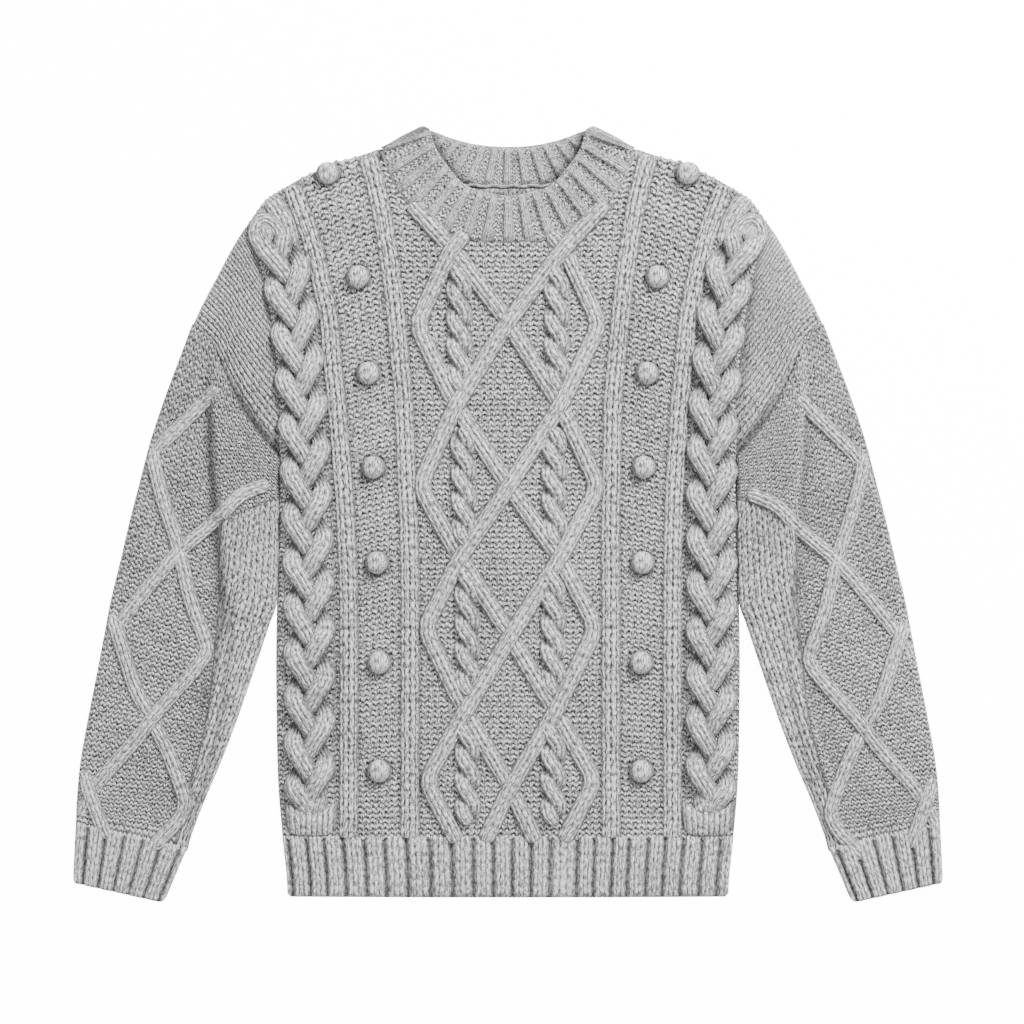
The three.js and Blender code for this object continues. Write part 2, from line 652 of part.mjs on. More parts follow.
function neckband() {
  const surface = new Surface();
  const point = { x: NECK_POINT.x - BAND_GAP, y: NECK_POINT.y + BAND_GAP };
  // Ribs stand closer together towards the neck points, where the band turns up
  const even = (across) => across;
  const spread = (across) => Math.sin(across * BAND_SPREAD) / Math.sin(BAND_SPREAD);
  const sections = [];
  const halfRing = (ribs, direction, neck, rimEdge, turn, place, rise) => {
    for (let i = 0; i <= ribs * 3; i += 1) {
      const across = direction * lerp(-1, 1, i / (ribs * 3));
      const x = point.x * place(across);
      const rimX = RIM_POINT.x * place(across);
      const seam = { x, y: neck(Math.abs(x)) + BAND_GAP, side: across };
      const rim = { x: rimX, y: rimEdge(Math.abs(rimX)) };
      sections.push(bandSection(surface, seam, rim, turn, i % 3 === 0 ? 0 : rise));
    }
  };
  const fold = (side, turns) => turns.forEach((turn) => {
    const seam = { x: side * point.x, y: point.y, side };
    const rim = { x: side * RIM_POINT.x, y: RIM_POINT.y };
    sections.push(bandSection(surface, seam, rim, turn, 0));
  });
  halfRing(BAND_RIBS_FRONT, 1, FRONT_NECK, FRONT_RIM, 0, spread, BAND_RIB_RISE);
  fold(1, [0.25, 0.5, 0.75]);
  halfRing(BAND_RIBS_BACK, -1, BACK_NECK, BACK_RIM, 1, even, BAND_RIB_RISE * 0.6);
  fold(-1, [0.75, 0.5, 0.25]);
  sections.forEach((loop, i) => {
    const next = sections[(i + 1) % sections.length];
    loop.forEach((a, k) => {
      const n = (k + 1) % loop.length;
      surface.quad(a, next[k], next[n], loop[n]);
    });
  });
  return surface.mesh("neckband", YARN.rib);
}

const sweater = new THREE.Group();
sweater.add(backPanel(), frontPanel(), hemBack(), hemFront(), neckband());
for (const [word, side] of [["left", -1], ["right", 1]]) {
  sweater.add(sleeve("sleeve_" + word, side), cuff("cuff_" + word, side));
  BOBBLES.forEach(({ x, y }, i) => {
    sweater.add(bobble("bobble_" + word + "_" + (i + 1), side * x + patternShift(y), y));
  });
}

export default sweater;
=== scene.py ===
# A cable knit sweater laid flat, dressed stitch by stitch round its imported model.
import bmesh
import bpy
import numpy as np
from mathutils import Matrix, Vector


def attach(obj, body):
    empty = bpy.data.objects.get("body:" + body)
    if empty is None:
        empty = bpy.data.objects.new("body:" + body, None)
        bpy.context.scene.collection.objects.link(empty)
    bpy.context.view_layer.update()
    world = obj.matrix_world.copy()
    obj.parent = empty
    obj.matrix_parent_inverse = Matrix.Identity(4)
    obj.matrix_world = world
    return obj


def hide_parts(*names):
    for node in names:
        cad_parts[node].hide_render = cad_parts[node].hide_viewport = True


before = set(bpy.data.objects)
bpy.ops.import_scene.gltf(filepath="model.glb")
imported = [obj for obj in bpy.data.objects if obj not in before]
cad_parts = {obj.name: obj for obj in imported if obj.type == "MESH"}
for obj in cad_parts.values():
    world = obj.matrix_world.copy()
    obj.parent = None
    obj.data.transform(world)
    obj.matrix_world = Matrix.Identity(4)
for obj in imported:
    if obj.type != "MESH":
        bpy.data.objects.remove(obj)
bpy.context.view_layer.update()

# The camera looks straight down on the laid sweater, as the photograph does. A long lens at a
# distance keeps its edges true. FACE is the height of the sweater's face in mm.
MM = 0.001
FRAME_WIDTH = 860 * MM
FRAME_CENTRE = (3.4 * MM, 2.5 * MM)
CAMERA_HEIGHT = 2.6
FACE = 6.0
SENSOR = 36.0


def put(name, data):
    """An object in the scene that shows data."""
    shown = bpy.data.objects.new(name, data)
    bpy.context.collection.objects.link(shown)
    return shown


camera_data = bpy.data.cameras.new("camera")
camera_data.sensor_width = SENSOR
camera_data.lens = SENSOR * CAMERA_HEIGHT / FRAME_WIDTH
camera = put("camera", camera_data)
camera.location = (*FRAME_CENTRE, CAMERA_HEIGHT + FACE * MM)
bpy.context.scene.camera = camera

# The floor is a plain white table that glows for the camera only. The light is soft: a key light
# from the upper right, a weak fill from the left, and an even sky.
TABLE_HALF = 6.0
TABLE_DROP = 0.2 * MM
TABLE_GLOW = 14.0
SKY_STRENGTH = 0.72


def mesh_of(bm, name):
    """A mesh of what bm holds. bm is done with after it."""
    mesh = bpy.data.meshes.new(name)
    bm.to_mesh(mesh)
    bm.free()
    return mesh


def feed(node, values):
    """Gives a node its inputs by name or number: a value each, or another node's output."""
    for title, value in values.items():
        if isinstance(value, bpy.types.NodeSocket):
            node.id_data.links.new(value, node.inputs[title])
        else:
            node.inputs[title].default_value = value
    return node


def calc(operation, *values):
    """A sum in the shader tree that its first linked value belongs to."""
    tree = next(value for value in values if isinstance(value, bpy.types.NodeSocket)).id_data
    node = tree.nodes.new("ShaderNodeMath")
    node.operation = operation
    return feed(node, dict(enumerate(values))).outputs[0]


floor_bm = bmesh.new()
bmesh.ops.create_grid(floor_bm, x_segments=1, y_segments=1, size=TABLE_HALF)
floor_mesh = mesh_of(floor_bm, "floor")
floor_finish = bpy.data.materials.new("white_table")
floor_finish.use_nodes = True
floor_nodes = floor_finish.node_tree.nodes
seen = floor_nodes.new("ShaderNodeLightPath").outputs["Is Camera Ray"]
feed(floor_nodes["Principled BSDF"], {
    "Base Color": (0.9, 0.9, 0.9, 1), "Roughness": 1.0, "Specular IOR Level": 0.0,
    "Emission Color": (1, 1, 1, 1), "Emission Strength": calc("MULTIPLY", seen, TABLE_GLOW)})
floor_mesh.materials.append(floor_finish)
floor = put("floor", floor_mesh)
floor.location.z = -TABLE_DROP


def studio_light(name, place, size, power):
    """A square light at a place, turned to the middle of the table."""
    data = bpy.data.lights.new(name, "AREA")
    data.size = size
    data.energy = power
    light = put(name, data)
    light.location = place
    light.rotation_euler = (-Vector(place)).to_track_quat("-Z", "Y").to_euler()


studio_light("key_light", (1.3, 2.0, 1.5), 0.7, 155)
studio_light("fill_light", (-2.2, 0.4, 2.4), 1.6, 20)
sky = bpy.data.worlds.new("even_sky")
sky.use_nodes = True
feed(sky.node_tree.nodes["Background"], {"Color": (1, 1, 1, 1), "Strength": SKY_STRENGTH})
bpy.context.scene.world = sky

# The yarn is a soft grey wool blend, spun from lighter and darker fibres.
# Reverse stitches make wavy rows of bumps; plain stitches make columns of V shapes.
TAU = 2 * np.pi
VECTOR, NUMBER = "NodeSocketVector", "NodeSocketFloat"


def new_group(name, inputs, outputs):
    """An empty shader group, the values that come into it, and the node that takes its results."""
    group = bpy.data.node_groups.new(name, "ShaderNodeTree")
    for title, kind in inputs:
        group.interface.new_socket(title, in_out="INPUT", socket_type=kind)
    for title in outputs:
        group.interface.new_socket(title, in_out="OUTPUT", socket_type=NUMBER)
    given = group.nodes.new("NodeGroupInput").outputs
    return group, given, group.nodes.new("NodeGroupOutput")


def ramp(value, low, high):
    """Eases from 0 at low to 1 at high."""
    node = value.id_data.nodes.new("ShaderNodeMapRange")
    node.interpolation_type = "SMOOTHSTEP"
    return feed(node, {"Value": value, "From Min": low, "From Max": high}).outputs["Result"]


def noise(vector, scale, detail=2.0):
    """Smooth random values along vector."""
    node = vector.id_data.nodes.new("ShaderNodeTexNoise")
    return feed(node, {"Vector": vector, "Scale": scale, "Detail": detail}).outputs


def uneven(vector, amount):
    """The column and row of a place on the knit, shifted so that no two stitches are quite alike."""
    nodes = vector.id_data.nodes
    shift = nodes.new("ShaderNodeVectorMath")
    shift.operation = "MULTIPLY_ADD"
    feed(shift, {0: noise(vector, 0.9, 1.0)["Color"], 1: (amount, amount, 0),
                 2: (-amount / 2, -amount / 2, 0)})
    moved = feed(nodes.new("ShaderNodeVectorMath"), {0: vector, 1: shift.outputs[0]})
    parts = feed(nodes.new("ShaderNodeSeparateXYZ"), {0: moved.outputs[0]}).outputs
    return parts["X"], parts["Y"]


# Reverse stitches: rows that wave from column to column, with painted shade between the rows,
# more so in patches.
PATTERN_IN = [("Stitches", VECTOR), ("Slits", NUMBER)]
PATTERN_OUT = ["Height", "GapShade"]
PURL_WAVE = 0.25
purl_rows, given, results = new_group("purl_rows", PATTERN_IN, PATTERN_OUT)
column, row = uneven(given["Stitches"], 0.85)
turn = calc("MULTIPLY", column, TAU)
wave = calc("COSINE", turn)
phase = calc("MULTIPLY", calc("MULTIPLY_ADD", wave, PURL_WAVE, row), np.pi)
lumps = calc("ABSOLUTE", calc("SINE", turn))
height = calc("MULTIPLY", calc("ABSOLUTE", calc("SINE", phase)), calc("MULTIPLY_ADD", lumps, 0.2, 0.8))
between = calc("SUBTRACT", 1.0, ramp(height, 0.1, 0.92))
under_bump = calc("MULTIPLY_ADD", wave, -0.2, 0.8)
patchy = calc("MULTIPLY_ADD", noise(given["Stitches"], 1.4)["Fac"], 1.6, 0.15)
gap_shade = calc("MULTIPLY", calc("MULTIPLY", between, under_bump), calc("MULTIPLY", patchy, given["Slits"]))
feed(results, {"Height": height, "GapShade": gap_shade})

# Plain stitches: two slanted legs to a column, painted shade where the legs dip, and a slit of
# painted shade between legs and between columns that breaks into dots.
KNIT_SLANT = 1.5
knit_columns, given, results = new_group("knit_columns", PATTERN_IN, PATTERN_OUT)
column, row = uneven(given["Stitches"], 0.22)
inside = calc("ABSOLUTE", calc("SUBTRACT", calc("FRACT", column), 0.5))
off_leg = calc("MULTIPLY", calc("ABSOLUTE", calc("SUBTRACT", inside, 0.25)), 4.0)
slanted = calc("FRACT", calc("MULTIPLY_ADD", inside, -KNIT_SLANT, row))
off_stitch = calc("MULTIPLY", calc("ABSOLUTE", calc("SUBTRACT", slanted, 0.5)), 2.0)
round_leg = calc("SQRT", calc("SUBTRACT", 1.02, calc("POWER", off_leg, 2.0)))
round_end = calc("MULTIPLY_ADD", calc("POWER", off_stitch, 4.0), -0.4, 1.0)
height = calc("MULTIPLY", round_leg, round_end)
dip = calc("SUBTRACT", 1.0, ramp(height, 0.1, 0.62))
middle = calc("MULTIPLY_ADD", ramp(inside, 0.03, 0.13), -0.9, 0.9)
slit = calc("MAXIMUM", ramp(inside, 0.37, 0.47), middle)
dash = ramp(calc("COSINE", calc("MULTIPLY", calc("ADD", row, 0.2), TAU)), -0.7, 0.5)
dot = calc("MULTIPLY", slit, calc("MULTIPLY_ADD", dash, 0.65, 0.35))
dot = calc("MULTIPLY", dot, given["Slits"])
feed(results, {"Height": height, "GapShade": calc("MAXIMUM", calc("MULTIPLY", dip, 0.7), dot)})

# Heather yarn: fine flecks, streaks along the stitches and a slow change over the garment.
heather, given, results = new_group("heather", [("Place", VECTOR), ("Stitches", VECTOR)],
                                    ["Shade", "Fuzz"])
stretch = heather.nodes.new("ShaderNodeVectorMath")
stretch.operation = "MULTIPLY"
feed(stretch, {0: given["Stitches"], 1: (6.0, 1.3, 1.0)})
fine, coarse, slow = (noise(given["Place"], scale, detail)["Fac"]
                      for scale, detail in ((900.0, 2.0), (420.0, 2.0), (24.0, 3.0)))
fibres = calc("ADD", calc("MULTIPLY", fine, 0.2), calc("MULTIPLY", coarse, 0.2))
fibres = calc("MULTIPLY_ADD", noise(stretch.outputs[0], 1.0)["Fac"], 0.52, fibres)
fibres = calc("MULTIPLY_ADD", slow, 0.08, fibres)
feed(results, {"Shade": ramp(fibres, 0.42, 0.58), "Fuzz": fine})

DARK_FIBRE = (0.1, 0.101, 0.106, 1)
LIGHT_FIBRE = (0.97, 0.972, 0.98, 1)
# Near black for painted shade, mixed into the yarn's colour in its gaps and creases
PAINTED_SHADE_TINT = (0.04, 0.04, 0.043, 1)


def mixed(how, a, b, share):
    """Two colours mixed by a share."""
    node = share.id_data.nodes.new("ShaderNodeMix")
    node.data_type = "RGBA"
    node.blend_type = how
    return feed(node, {"A": a, "B": b, "Factor": share}).outputs["Result"]


def yarn_finish(name, pattern, gap_shade_share, relief, slits, marl_low=0.0):
    """A knitted finish: its pattern of stitches, how dark the painted shade in its gaps is, its relief
    in mm, how strongly the painted shade in the slits between stitches shows, and the least share
    of light fibres."""
    finish = bpy.data.materials.new(name)
    finish.use_nodes = True
    nodes = finish.node_tree.nodes
    place = nodes.new("ShaderNodeTexCoord").outputs["Object"]
    uvs = nodes.new("ShaderNodeUVMap")
    uvs.uv_map = "stitches"
    stitches = uvs.outputs["UV"]
    marl, knit = nodes.new("ShaderNodeGroup"), nodes.new("ShaderNodeGroup")
    marl.node_tree, knit.node_tree = heather, pattern
    shade, fuzz = feed(marl, {"Place": place, "Stitches": stitches}).outputs
    height, gap_shade = feed(knit, {"Stitches": stitches, "Slits": slits}).outputs
    light_share = calc("MULTIPLY_ADD", shade, 1 - marl_low, marl_low)
    fibre = mixed("MIX", DARK_FIBRE, LIGHT_FIBRE, light_share)
    # Painted shade: the yarn's colour is darkened in the stitches' gaps and by the shade painted on the
    # cloth
    painted_shade = nodes.new("ShaderNodeAttribute")
    painted_shade.attribute_name = "painted_shade"
    painted_shade = calc("MULTIPLY", painted_shade.outputs["Fac"], 0.93)
    shade_amount = calc("MAXIMUM", calc("MULTIPLY", gap_shade, gap_shade_share), painted_shade)
    bump = feed(nodes.new("ShaderNodeBump"), {"Distance": relief * MM, "Strength": 1.0,
                                              "Height": calc("MULTIPLY_ADD", fuzz, 0.35, height)})
    feed(nodes["Principled BSDF"], {
        "Base Color": mixed("MULTIPLY", fibre, PAINTED_SHADE_TINT, shade_amount), "Normal": bump.outputs["Normal"],
        "Roughness": calc("MULTIPLY_ADD", fuzz, 0.2, 0.78), "Specular IOR Level": 0.25,
        "Sheen Weight": 0.25, "Sheen Roughness": 0.6})
    return finish


PURL, PLAIN, CABLE, BOBBLE = range(4)
FINISHES = [yarn_finish("purl_yarn", purl_rows, 0.97, 1.0, 1.0),
            yarn_finish("knit_yarn", knit_columns, 0.95, 0.8, 1.0, 0.04),
            yarn_finish("cable_yarn", knit_columns, 0.95, 0.8, 0.72, 0.14),
            yarn_finish("bobble_yarn", knit_columns, 0.45, 0.4, 0.35, 0.1)]


# Every piece is a cloth bent to its place. These turn lines and heights into cloths.
def through(rows):
    """A smooth function through rows of key and value, level past both ends."""
    keys, values = np.array(sorted(rows), float).T
    last = len(keys) - 1
    before, after = np.maximum(np.arange(-1, last), 0), np.minimum(np.arange(last + 1) + 1, last)
    slopes = (values[after] - values[before]) / (keys[after] - keys[before])

    def at(key):
        key = np.clip(key, keys[0], keys[-1])
        i = np.clip(np.searchsorted(keys, key, side="right") - 1, 0, last - 1)
        step = keys[i + 1] - keys[i]
        t = (key - keys[i]) / step
        rise = values[i + 1] - values[i]
        start_bend = slopes[i] * step - rise
        end_bend = rise - slopes[i + 1] * step
        return values[i] + rise * t + t * (1 - t) * (start_bend * (1 - t) + end_bend * t)

    return at


def blend(a, b, t):
    return a + (b - a) * t


def smooth(low, high, x):
    """Eases from 0 at low to 1 at high."""
    t = np.clip((x - low) / (high - low), 0, 1)
    return t * t * (3 - 2 * t)


def near(distance, width):
    """1 on a line, and next to nothing past twice the width from it."""
    return np.exp(-(distance / width) ** 2)


def arch(t):
    """0 at each whole number and 1 halfway, as round as a thread."""
    return np.abs(np.sin(np.pi * t))


def numbers(items, name, each=1, kind=float):
    """The numbers that a mesh's items have under a name, in rows of each."""
    flat = np.empty(len(items) * each, kind)
    items.foreach_get(name, flat)
    return flat.reshape(-1, each) if each > 1 else flat


def places(*parts):
    """Places, one to a row, from all their x, all their y and so on."""
    return np.stack(np.broadcast_arrays(*parts), 1)


def cloth(across, along, place, stitches, painted_shade, yarn=PURL, closed=False, keep=None):
    """A cloth of across by along cells. For shares u and v of it, place gives x, y, z in mm,
    stitches the stitch's column and row, and the next function how much painted shade darkens it.
    yarn is its finish, or gives one for u, v. A closed cloth is a tube or a ball. keep tells which x, y
    stay."""
    bm = bmesh.new()
    bmesh.ops.create_grid(bm, x_segments=across, y_segments=along, size=0.5)
    mesh = mesh_of(bm, "cloth")
    flat = numbers(mesh.vertices, "co", 3)
    u, v = np.clip(flat[:, 0] + 0.5, 0, 1), np.clip(flat[:, 1] + 0.5, 0, 1)
    xyz = places(*place(u, v)) * MM
    mesh.vertices.foreach_set("co", xyz.ravel())
    mesh.update()
    corners = numbers(mesh.loops, "vertex_index", kind=int)
    uv = places(*stitches(u, v))
    mesh.uv_layers.new(name="stitches").uv.foreach_set("vector", uv[corners].ravel())
    # Painted shade: how far the yarn's colour is darkened at each place of the cloth
    mesh.attributes.new("painted_shade", "FLOAT", "POINT").data.foreach_set("value", painted_shade(u, v))
    firsts = numbers(mesh.polygons, "loop_start", kind=int)
    kinds = yarn(u, v)[corners[firsts]] if callable(yarn) else np.full(len(firsts), yarn)
    mesh.polygons.foreach_set("material_index", kinds.astype(int))
    normals, centres = numbers(mesh.polygons, "normal", 3), numbers(mesh.polygons, "center", 3)
    facing = (normals * centres).sum(1) if closed else normals[:, 2]
    if facing @ numbers(mesh.polygons, "area") < 0:
        mesh.flip_normals()
    if keep is not None:
        bm = bmesh.new()
        bm.from_mesh(mesh)
        bm.verts.ensure_lookup_table()
        spare = [bm.verts[i] for i in np.flatnonzero(~keep(xyz[:, 0] / MM, xyz[:, 1] / MM))]
        bmesh.ops.delete(bm, geom=spare, context="VERTS")
        bmesh.ops.delete(bm, geom=[e for e in bm.edges if not e.link_faces], context="EDGES")
        bmesh.ops.delete(bm, geom=[v for v in bm.verts if not v.link_faces], context="VERTS")
        bm.to_mesh(mesh)
        bm.free()
    return mesh


def sewn(name, cloths, nodes=(), closed=True, ends=False):
    """One piece made of cloths, with its seams joined and, where asked, its open ends filled."""
    bm = bmesh.new()
    for part in cloths:
        bm.from_mesh(part)
        bpy.data.meshes.remove(part)
    if closed:
        bmesh.ops.remove_doubles(bm, verts=bm.verts, dist=4e-6)
        bmesh.ops.dissolve_degenerate(bm, edges=bm.edges, dist=1e-7)
    if ends:
        bmesh.ops.holes_fill(bm, edges=[e for e in bm.edges if e.is_boundary], sides=0)
        bmesh.ops.recalc_face_normals(bm, faces=bm.faces)
    for face in bm.faces:
        face.smooth = True
    mesh = mesh_of(bm, name)
    for finish in FINISHES:
        mesh.materials.append(finish)
    piece = put(name, mesh)
    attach(piece, "root")
    if nodes:
        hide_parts(*nodes)
    return piece


def lengths(line):
    """How far along a line each of its places is."""
    return np.concatenate([[0], np.cumsum(np.linalg.norm(np.diff(line, axis=0), axis=1))])


def even(line, step):
    """Places about step mm apart along a line."""
    length = lengths(line)
    at = np.linspace(0, length[-1], max(4, int(length[-1] / step)))
    return np.stack([np.interp(at, length, line[:, k]) for k in range(line.shape[1])], 1)


def catmull(points, step=1.5):
    """Places about step mm apart on a smooth line through points."""
    points = np.array(points, float)
    ends = np.vstack([2 * points[0] - points[1], points, 2 * points[-1] - points[-2]])
    line = []
    for a, b, c, d in zip(ends, ends[1:], ends[2:], ends[3:]):
        t = np.linspace(0, 1, max(2, int(np.linalg.norm(c - b) / step * 2)), endpoint=False)[:, None]
        line.append(b + 0.5 * t * (c - a + t * (2 * a - 5 * b + 4 * c - d + t * (3 * (b - c) + d - a))))
    return even(np.vstack(line + [points[-1:]]), step)


BEND_REACH = 12.0


def bent(points, step=1.5):
    """Places about step mm apart along straight lines whose bends are rounded off."""
    points = [np.array(p, float) for p in points]
    line = [points[0]]
    for a, b, c in zip(points, points[1:], points[2:]):
        start = b + (a - b) * min(0.45, BEND_REACH / np.linalg.norm(a - b))
        end = b + (c - b) * min(0.45, BEND_REACH / np.linalg.norm(c - b))
        for t in np.linspace(0, 1, 9):
            line.append((1 - t) ** 2 * start + 2 * t * (1 - t) * b + t * t * end)
    return even(np.array(line + [points[-1]]), step)


CABLE_ROW = 6.2


def strand(path, half, rise, legs, fullness=2.0, ends=(6.0, 6.0), samples=4, leg_dip=0.3, yarn=CABLE,
           settle=None, shade=0.0, edge=0.62):
    """A raised band of plain stitches along path, a row of x, y, z. half is half its width and
    rise its height over the path. Its ends taper over the given lengths. settle moves its places,
    shade is painted shade along its length, and painted shade darkens its sides from the share edge
    outwards."""
    length = lengths(path)
    head = np.clip(length / ends[0], 0, 1)
    tail = np.clip((length[-1] - length) / ends[1], 0, 1)
    taper = np.sqrt(1 - (1 - head) ** 2) * np.sqrt(1 - (1 - tail) ** 2)
    rise = rise * taper
    tangent = np.gradient(path[:, :2], axis=0)
    tangent /= np.linalg.norm(tangent, axis=1)[:, None] + 1e-9
    lines = (*path.T, *tangent.T, half * taper, rise, shade + np.zeros(len(path)))
    under_cells = 4
    cells = legs * samples + under_cells
    top_share = legs * samples / cells

    def along(v):
        return [np.interp(v * (len(path) - 1), np.arange(len(path)), line) for line in lines]

    def place(u, v):
        x, y, z, tx, ty, w, h, _ = along(v)
        upper = u < top_share + 1e-6
        a = np.where(upper, 2 * u / top_share - 1, 1 - 2 * (u - top_share) / (1 - top_share))
        a = np.clip(a, -1, 1)
        a = np.sign(a) * (1 - (1 - np.abs(a)) ** 1.15)
        crown = (1 - np.abs(a) ** fullness) ** 0.55
        lift = h * crown * (1 - leg_dip + leg_dip * arch(legs * u / top_share))
        drop = -h / np.max(rise + 1e-9) * crown
        placed = x - ty * w * a, y + tx * w * a, z + np.where(upper, lift, drop)
        return placed if settle is None else settle(*placed)

    def stitches(u, v):
        return np.clip(u / top_share, 0, 1) * legs / 2, v * length[-1] / CABLE_ROW

    def painted_shade(u, v):
        # Painted shade on the band's sides and along its length
        sides = smooth(edge, 0.97, np.abs(2 * np.clip(u / top_share, 0, 1) - 1))
        return np.maximum(sides, along(v)[-1])

    return cloth(cells, len(path) - 1, place, stitches, painted_shade, yarn, closed=True)


def ball(middle, reach, half, rise, legs, **looks):
    """A knitted ball about a middle place, which reaches out from it both ways."""
    t = np.linspace(-1, 1, 17)
    full = np.sqrt(1 - t * t)
    path = np.array(middle) + t[:, None] * np.array(reach)
    return strand(path, half * full, rise * full, legs, ends=(0.01, 0.01), **looks)


# The front is one knitted panel. Its ground is reverse stitch, in the middle and beside the ribs,
# worked up from the hem and shaped round the neck, with plain knit over the dropped shoulders.
HEM_TOP = -270.0
ROW = 4.45
PURL_RISE = 1.9
RIB_HALF = 8.4
SEAM_LAP = 1.5
SIDES = (("left", -1), ("right", 1))
UNDERARM_X, UNDERARM_Y = 193.0, 46.0
POINT_X, POINT_Y = 265.0, 160.0
SIDE = through([[-330, 185.5], [-307, 186], [-273, 189.5], [-223, 193.5], [-155, 195],
                [-105, 195], [-38, 193.5], [48, 193]])
BRAID_OUTER = through([[-300, 190], [-105, 190.5], [29, 190.5], [97, 191], [130, 194.5], [155, 197],
                       [181, 202], [197, 205], [223, 211], [260, 222]])
BRAID_INNER = through([[-300, 147], [-105, 147], [-38, 148], [29, 150], [63, 152], [97, 155],
                       [130, 157], [164, 160], [197, 164.5], [214, 169], [231, 175], [270, 190]])
OUTER_RIB = through([[-300, 136], [-71, 136], [13, 138.5], [63, 142], [97, 144.5], [130, 148],
                     [164, 151], [197, 157.5], [231, 165.5], [265, 177.5], [300, 190]])
INNER_RIB = through([[-300, 84.5], [-21, 84.5], [29, 86], [97, 88], [130, 91], [164, 94],
                     [197, 97.5], [231, 102.5], [265, 108.5], [298, 117], [315, 122]])
SHOULDER = through([[107, 308.5], [126, 302], [143, 297], [159, 290.5], [173, 284], [192, 273],
                    [204.5, 264.5], [215, 250], [225, 236], [236, 217], [247, 196], [257, 177],
                    [265, 160]])
ARMHOLE_LINE = [[193, 46], [210, 69], [225, 93], [237, 117], [246, 138], [255, 149.5], [265, 160]]
ARMHOLE = through(ARMHOLE_LINE)
FRONT_NECK = through([[0, 229], [25, 230.5], [46, 236], [63, 244.5], [76, 255], [92, 273],
                      [102, 294], [107, 308.5]])
BOBBLES = [(151, 287), (125.5, 200), (117, 119), (113.5, 40), (111.5, -40), (110, -124), (110, -215)]


def pattern_shift(y):
    """The pattern stands a little off the middle line below the chest."""
    return 2 * (1 - smooth(-100, 120, y))


def purl(column, row):
    """Height of a reverse stitch, 0 in a gap between rows and 1 on a bump."""
    return arch(row) * (0.8 + 0.2 * arch(2 * column))


def waved(column, row):
    """The column and row of the stitch at a place, where rows wave from column to column."""
    return column, row - PURL_WAVE * np.cos(TAU * column)


def face_height(x, y):
    """Height of the laid front: a soft surface that isn't quite even."""
    swell = np.sin(x / 61 + 1.3) * np.sin(y / 83 + 0.4) + 0.6 * np.sin(x / 29 - y / 47)
    return FACE + 0.35 * swell


def rolled(z, inside, radius=5.0, low=2.0):
    """Turns the last of a cloth down at its edge. inside is the distance in from the edge."""
    t = np.clip(inside / radius, 0, 1)
    return low + (z - low) * np.sqrt(1 - (1 - t) ** 2)


def round_bobbles(x, y):
    """The rows bow apart round each bobble."""
    push = 0
    for bobble_x, bobble_y in BOBBLES:
        dy = y - bobble_y
        push = push + np.sign(dy) * 2.4 * near(x - bobble_x, 9) * near(np.abs(dy) - 9, 7)
    return y + push


def ground_shade(x, y):
    """The ground is dark where it dips beside the ribs, the plaits and the bobbles."""
    out = np.abs(x - pattern_shift(y))
    shade = 0.55 * near(out - BRAID_INNER(y), 3.5)
    for line in (INNER_RIB, OUTER_RIB):
        shade = np.maximum(shade, 0.6 * near(np.abs(out - line(y)) - RIB_HALF, 2))
    for bobble_x, bobble_y in BOBBLES:
        away = np.hypot(out - bobble_x, y - bobble_y) - 10.5
        shade = np.maximum(shade, 0.75 * near(away, 2))
    return shade


def shoulder_top(line):
    """The height where an upright line, a distance out for each height, meets the shoulder."""
    top = 200.0 + 0 * line(200.0)
    for _ in range(40):
        top = blend(top, SHOULDER(line(top)), 0.5)
    return top


MIDDLE_COLUMNS = 28
MIDDLE_ROWS = int((300 - HEM_TOP) / ROW)
UNDER_FACE = 0.8
FOOT = HEM_TOP - 3


def middle_place(u, v):
    column, row = waved(u * MIDDLE_COLUMNS, v * MIDDLE_ROWS)
    y = FOOT + row * ROW
    x = (2 * u - 1) * (INNER_RIB(y) - RIB_HALF + SEAM_LAP) + pattern_shift(y)
    return x, y, face_height(x, y) - UNDER_FACE + PURL_RISE * purl(column, v * MIDDLE_ROWS)


front_cloths = [cloth(MIDDLE_COLUMNS * 4, MIDDLE_ROWS * 3, middle_place,
                      lambda u, v: waved(u * MIDDLE_COLUMNS, v * MIDDLE_ROWS),
                      lambda u, v: ground_shade(*middle_place(u, v)[:2]),
                      keep=lambda x, y: y < np.where(np.abs(x) < 104, FRONT_NECK(np.abs(x)) + 4,
                                                     SHOULDER(np.abs(x)) - 1))]


def panel_strip(side, inner, outer, columns, samples, inward=True):
    """A stretch of the front's ground between two lines, from the hem to the shoulder edge. The
    outermost one turns down at the side of the body."""
    rows = int((285 - FOOT) / ROW)

    def place(u, v):
        def line(y):
            return blend(inner(y), outer(y), u) + side * pattern_shift(y)

        top = shoulder_top(line)
        column, row = waved(u * columns, v * rows)
        y = FOOT + row / rows * (top - FOOT)
        x = line(y)
        z = face_height(side * x, y) - UNDER_FACE + PURL_RISE * purl(column, v * rows)
        z = rolled(z, (1 - u) * 45 + 4 * inward, 4, 2.9)
        return side * x, round_bobbles(x, y), rolled(z, top - y)

    return cloth(columns * samples, rows * 3, place, lambda u, v: waved(u * columns, v * rows),
                 lambda u, v: ground_shade(*place(u, v)[:2]))


WALES = 15
WALE_ROWS = 30
SHOULDER_PUFF = 4.5


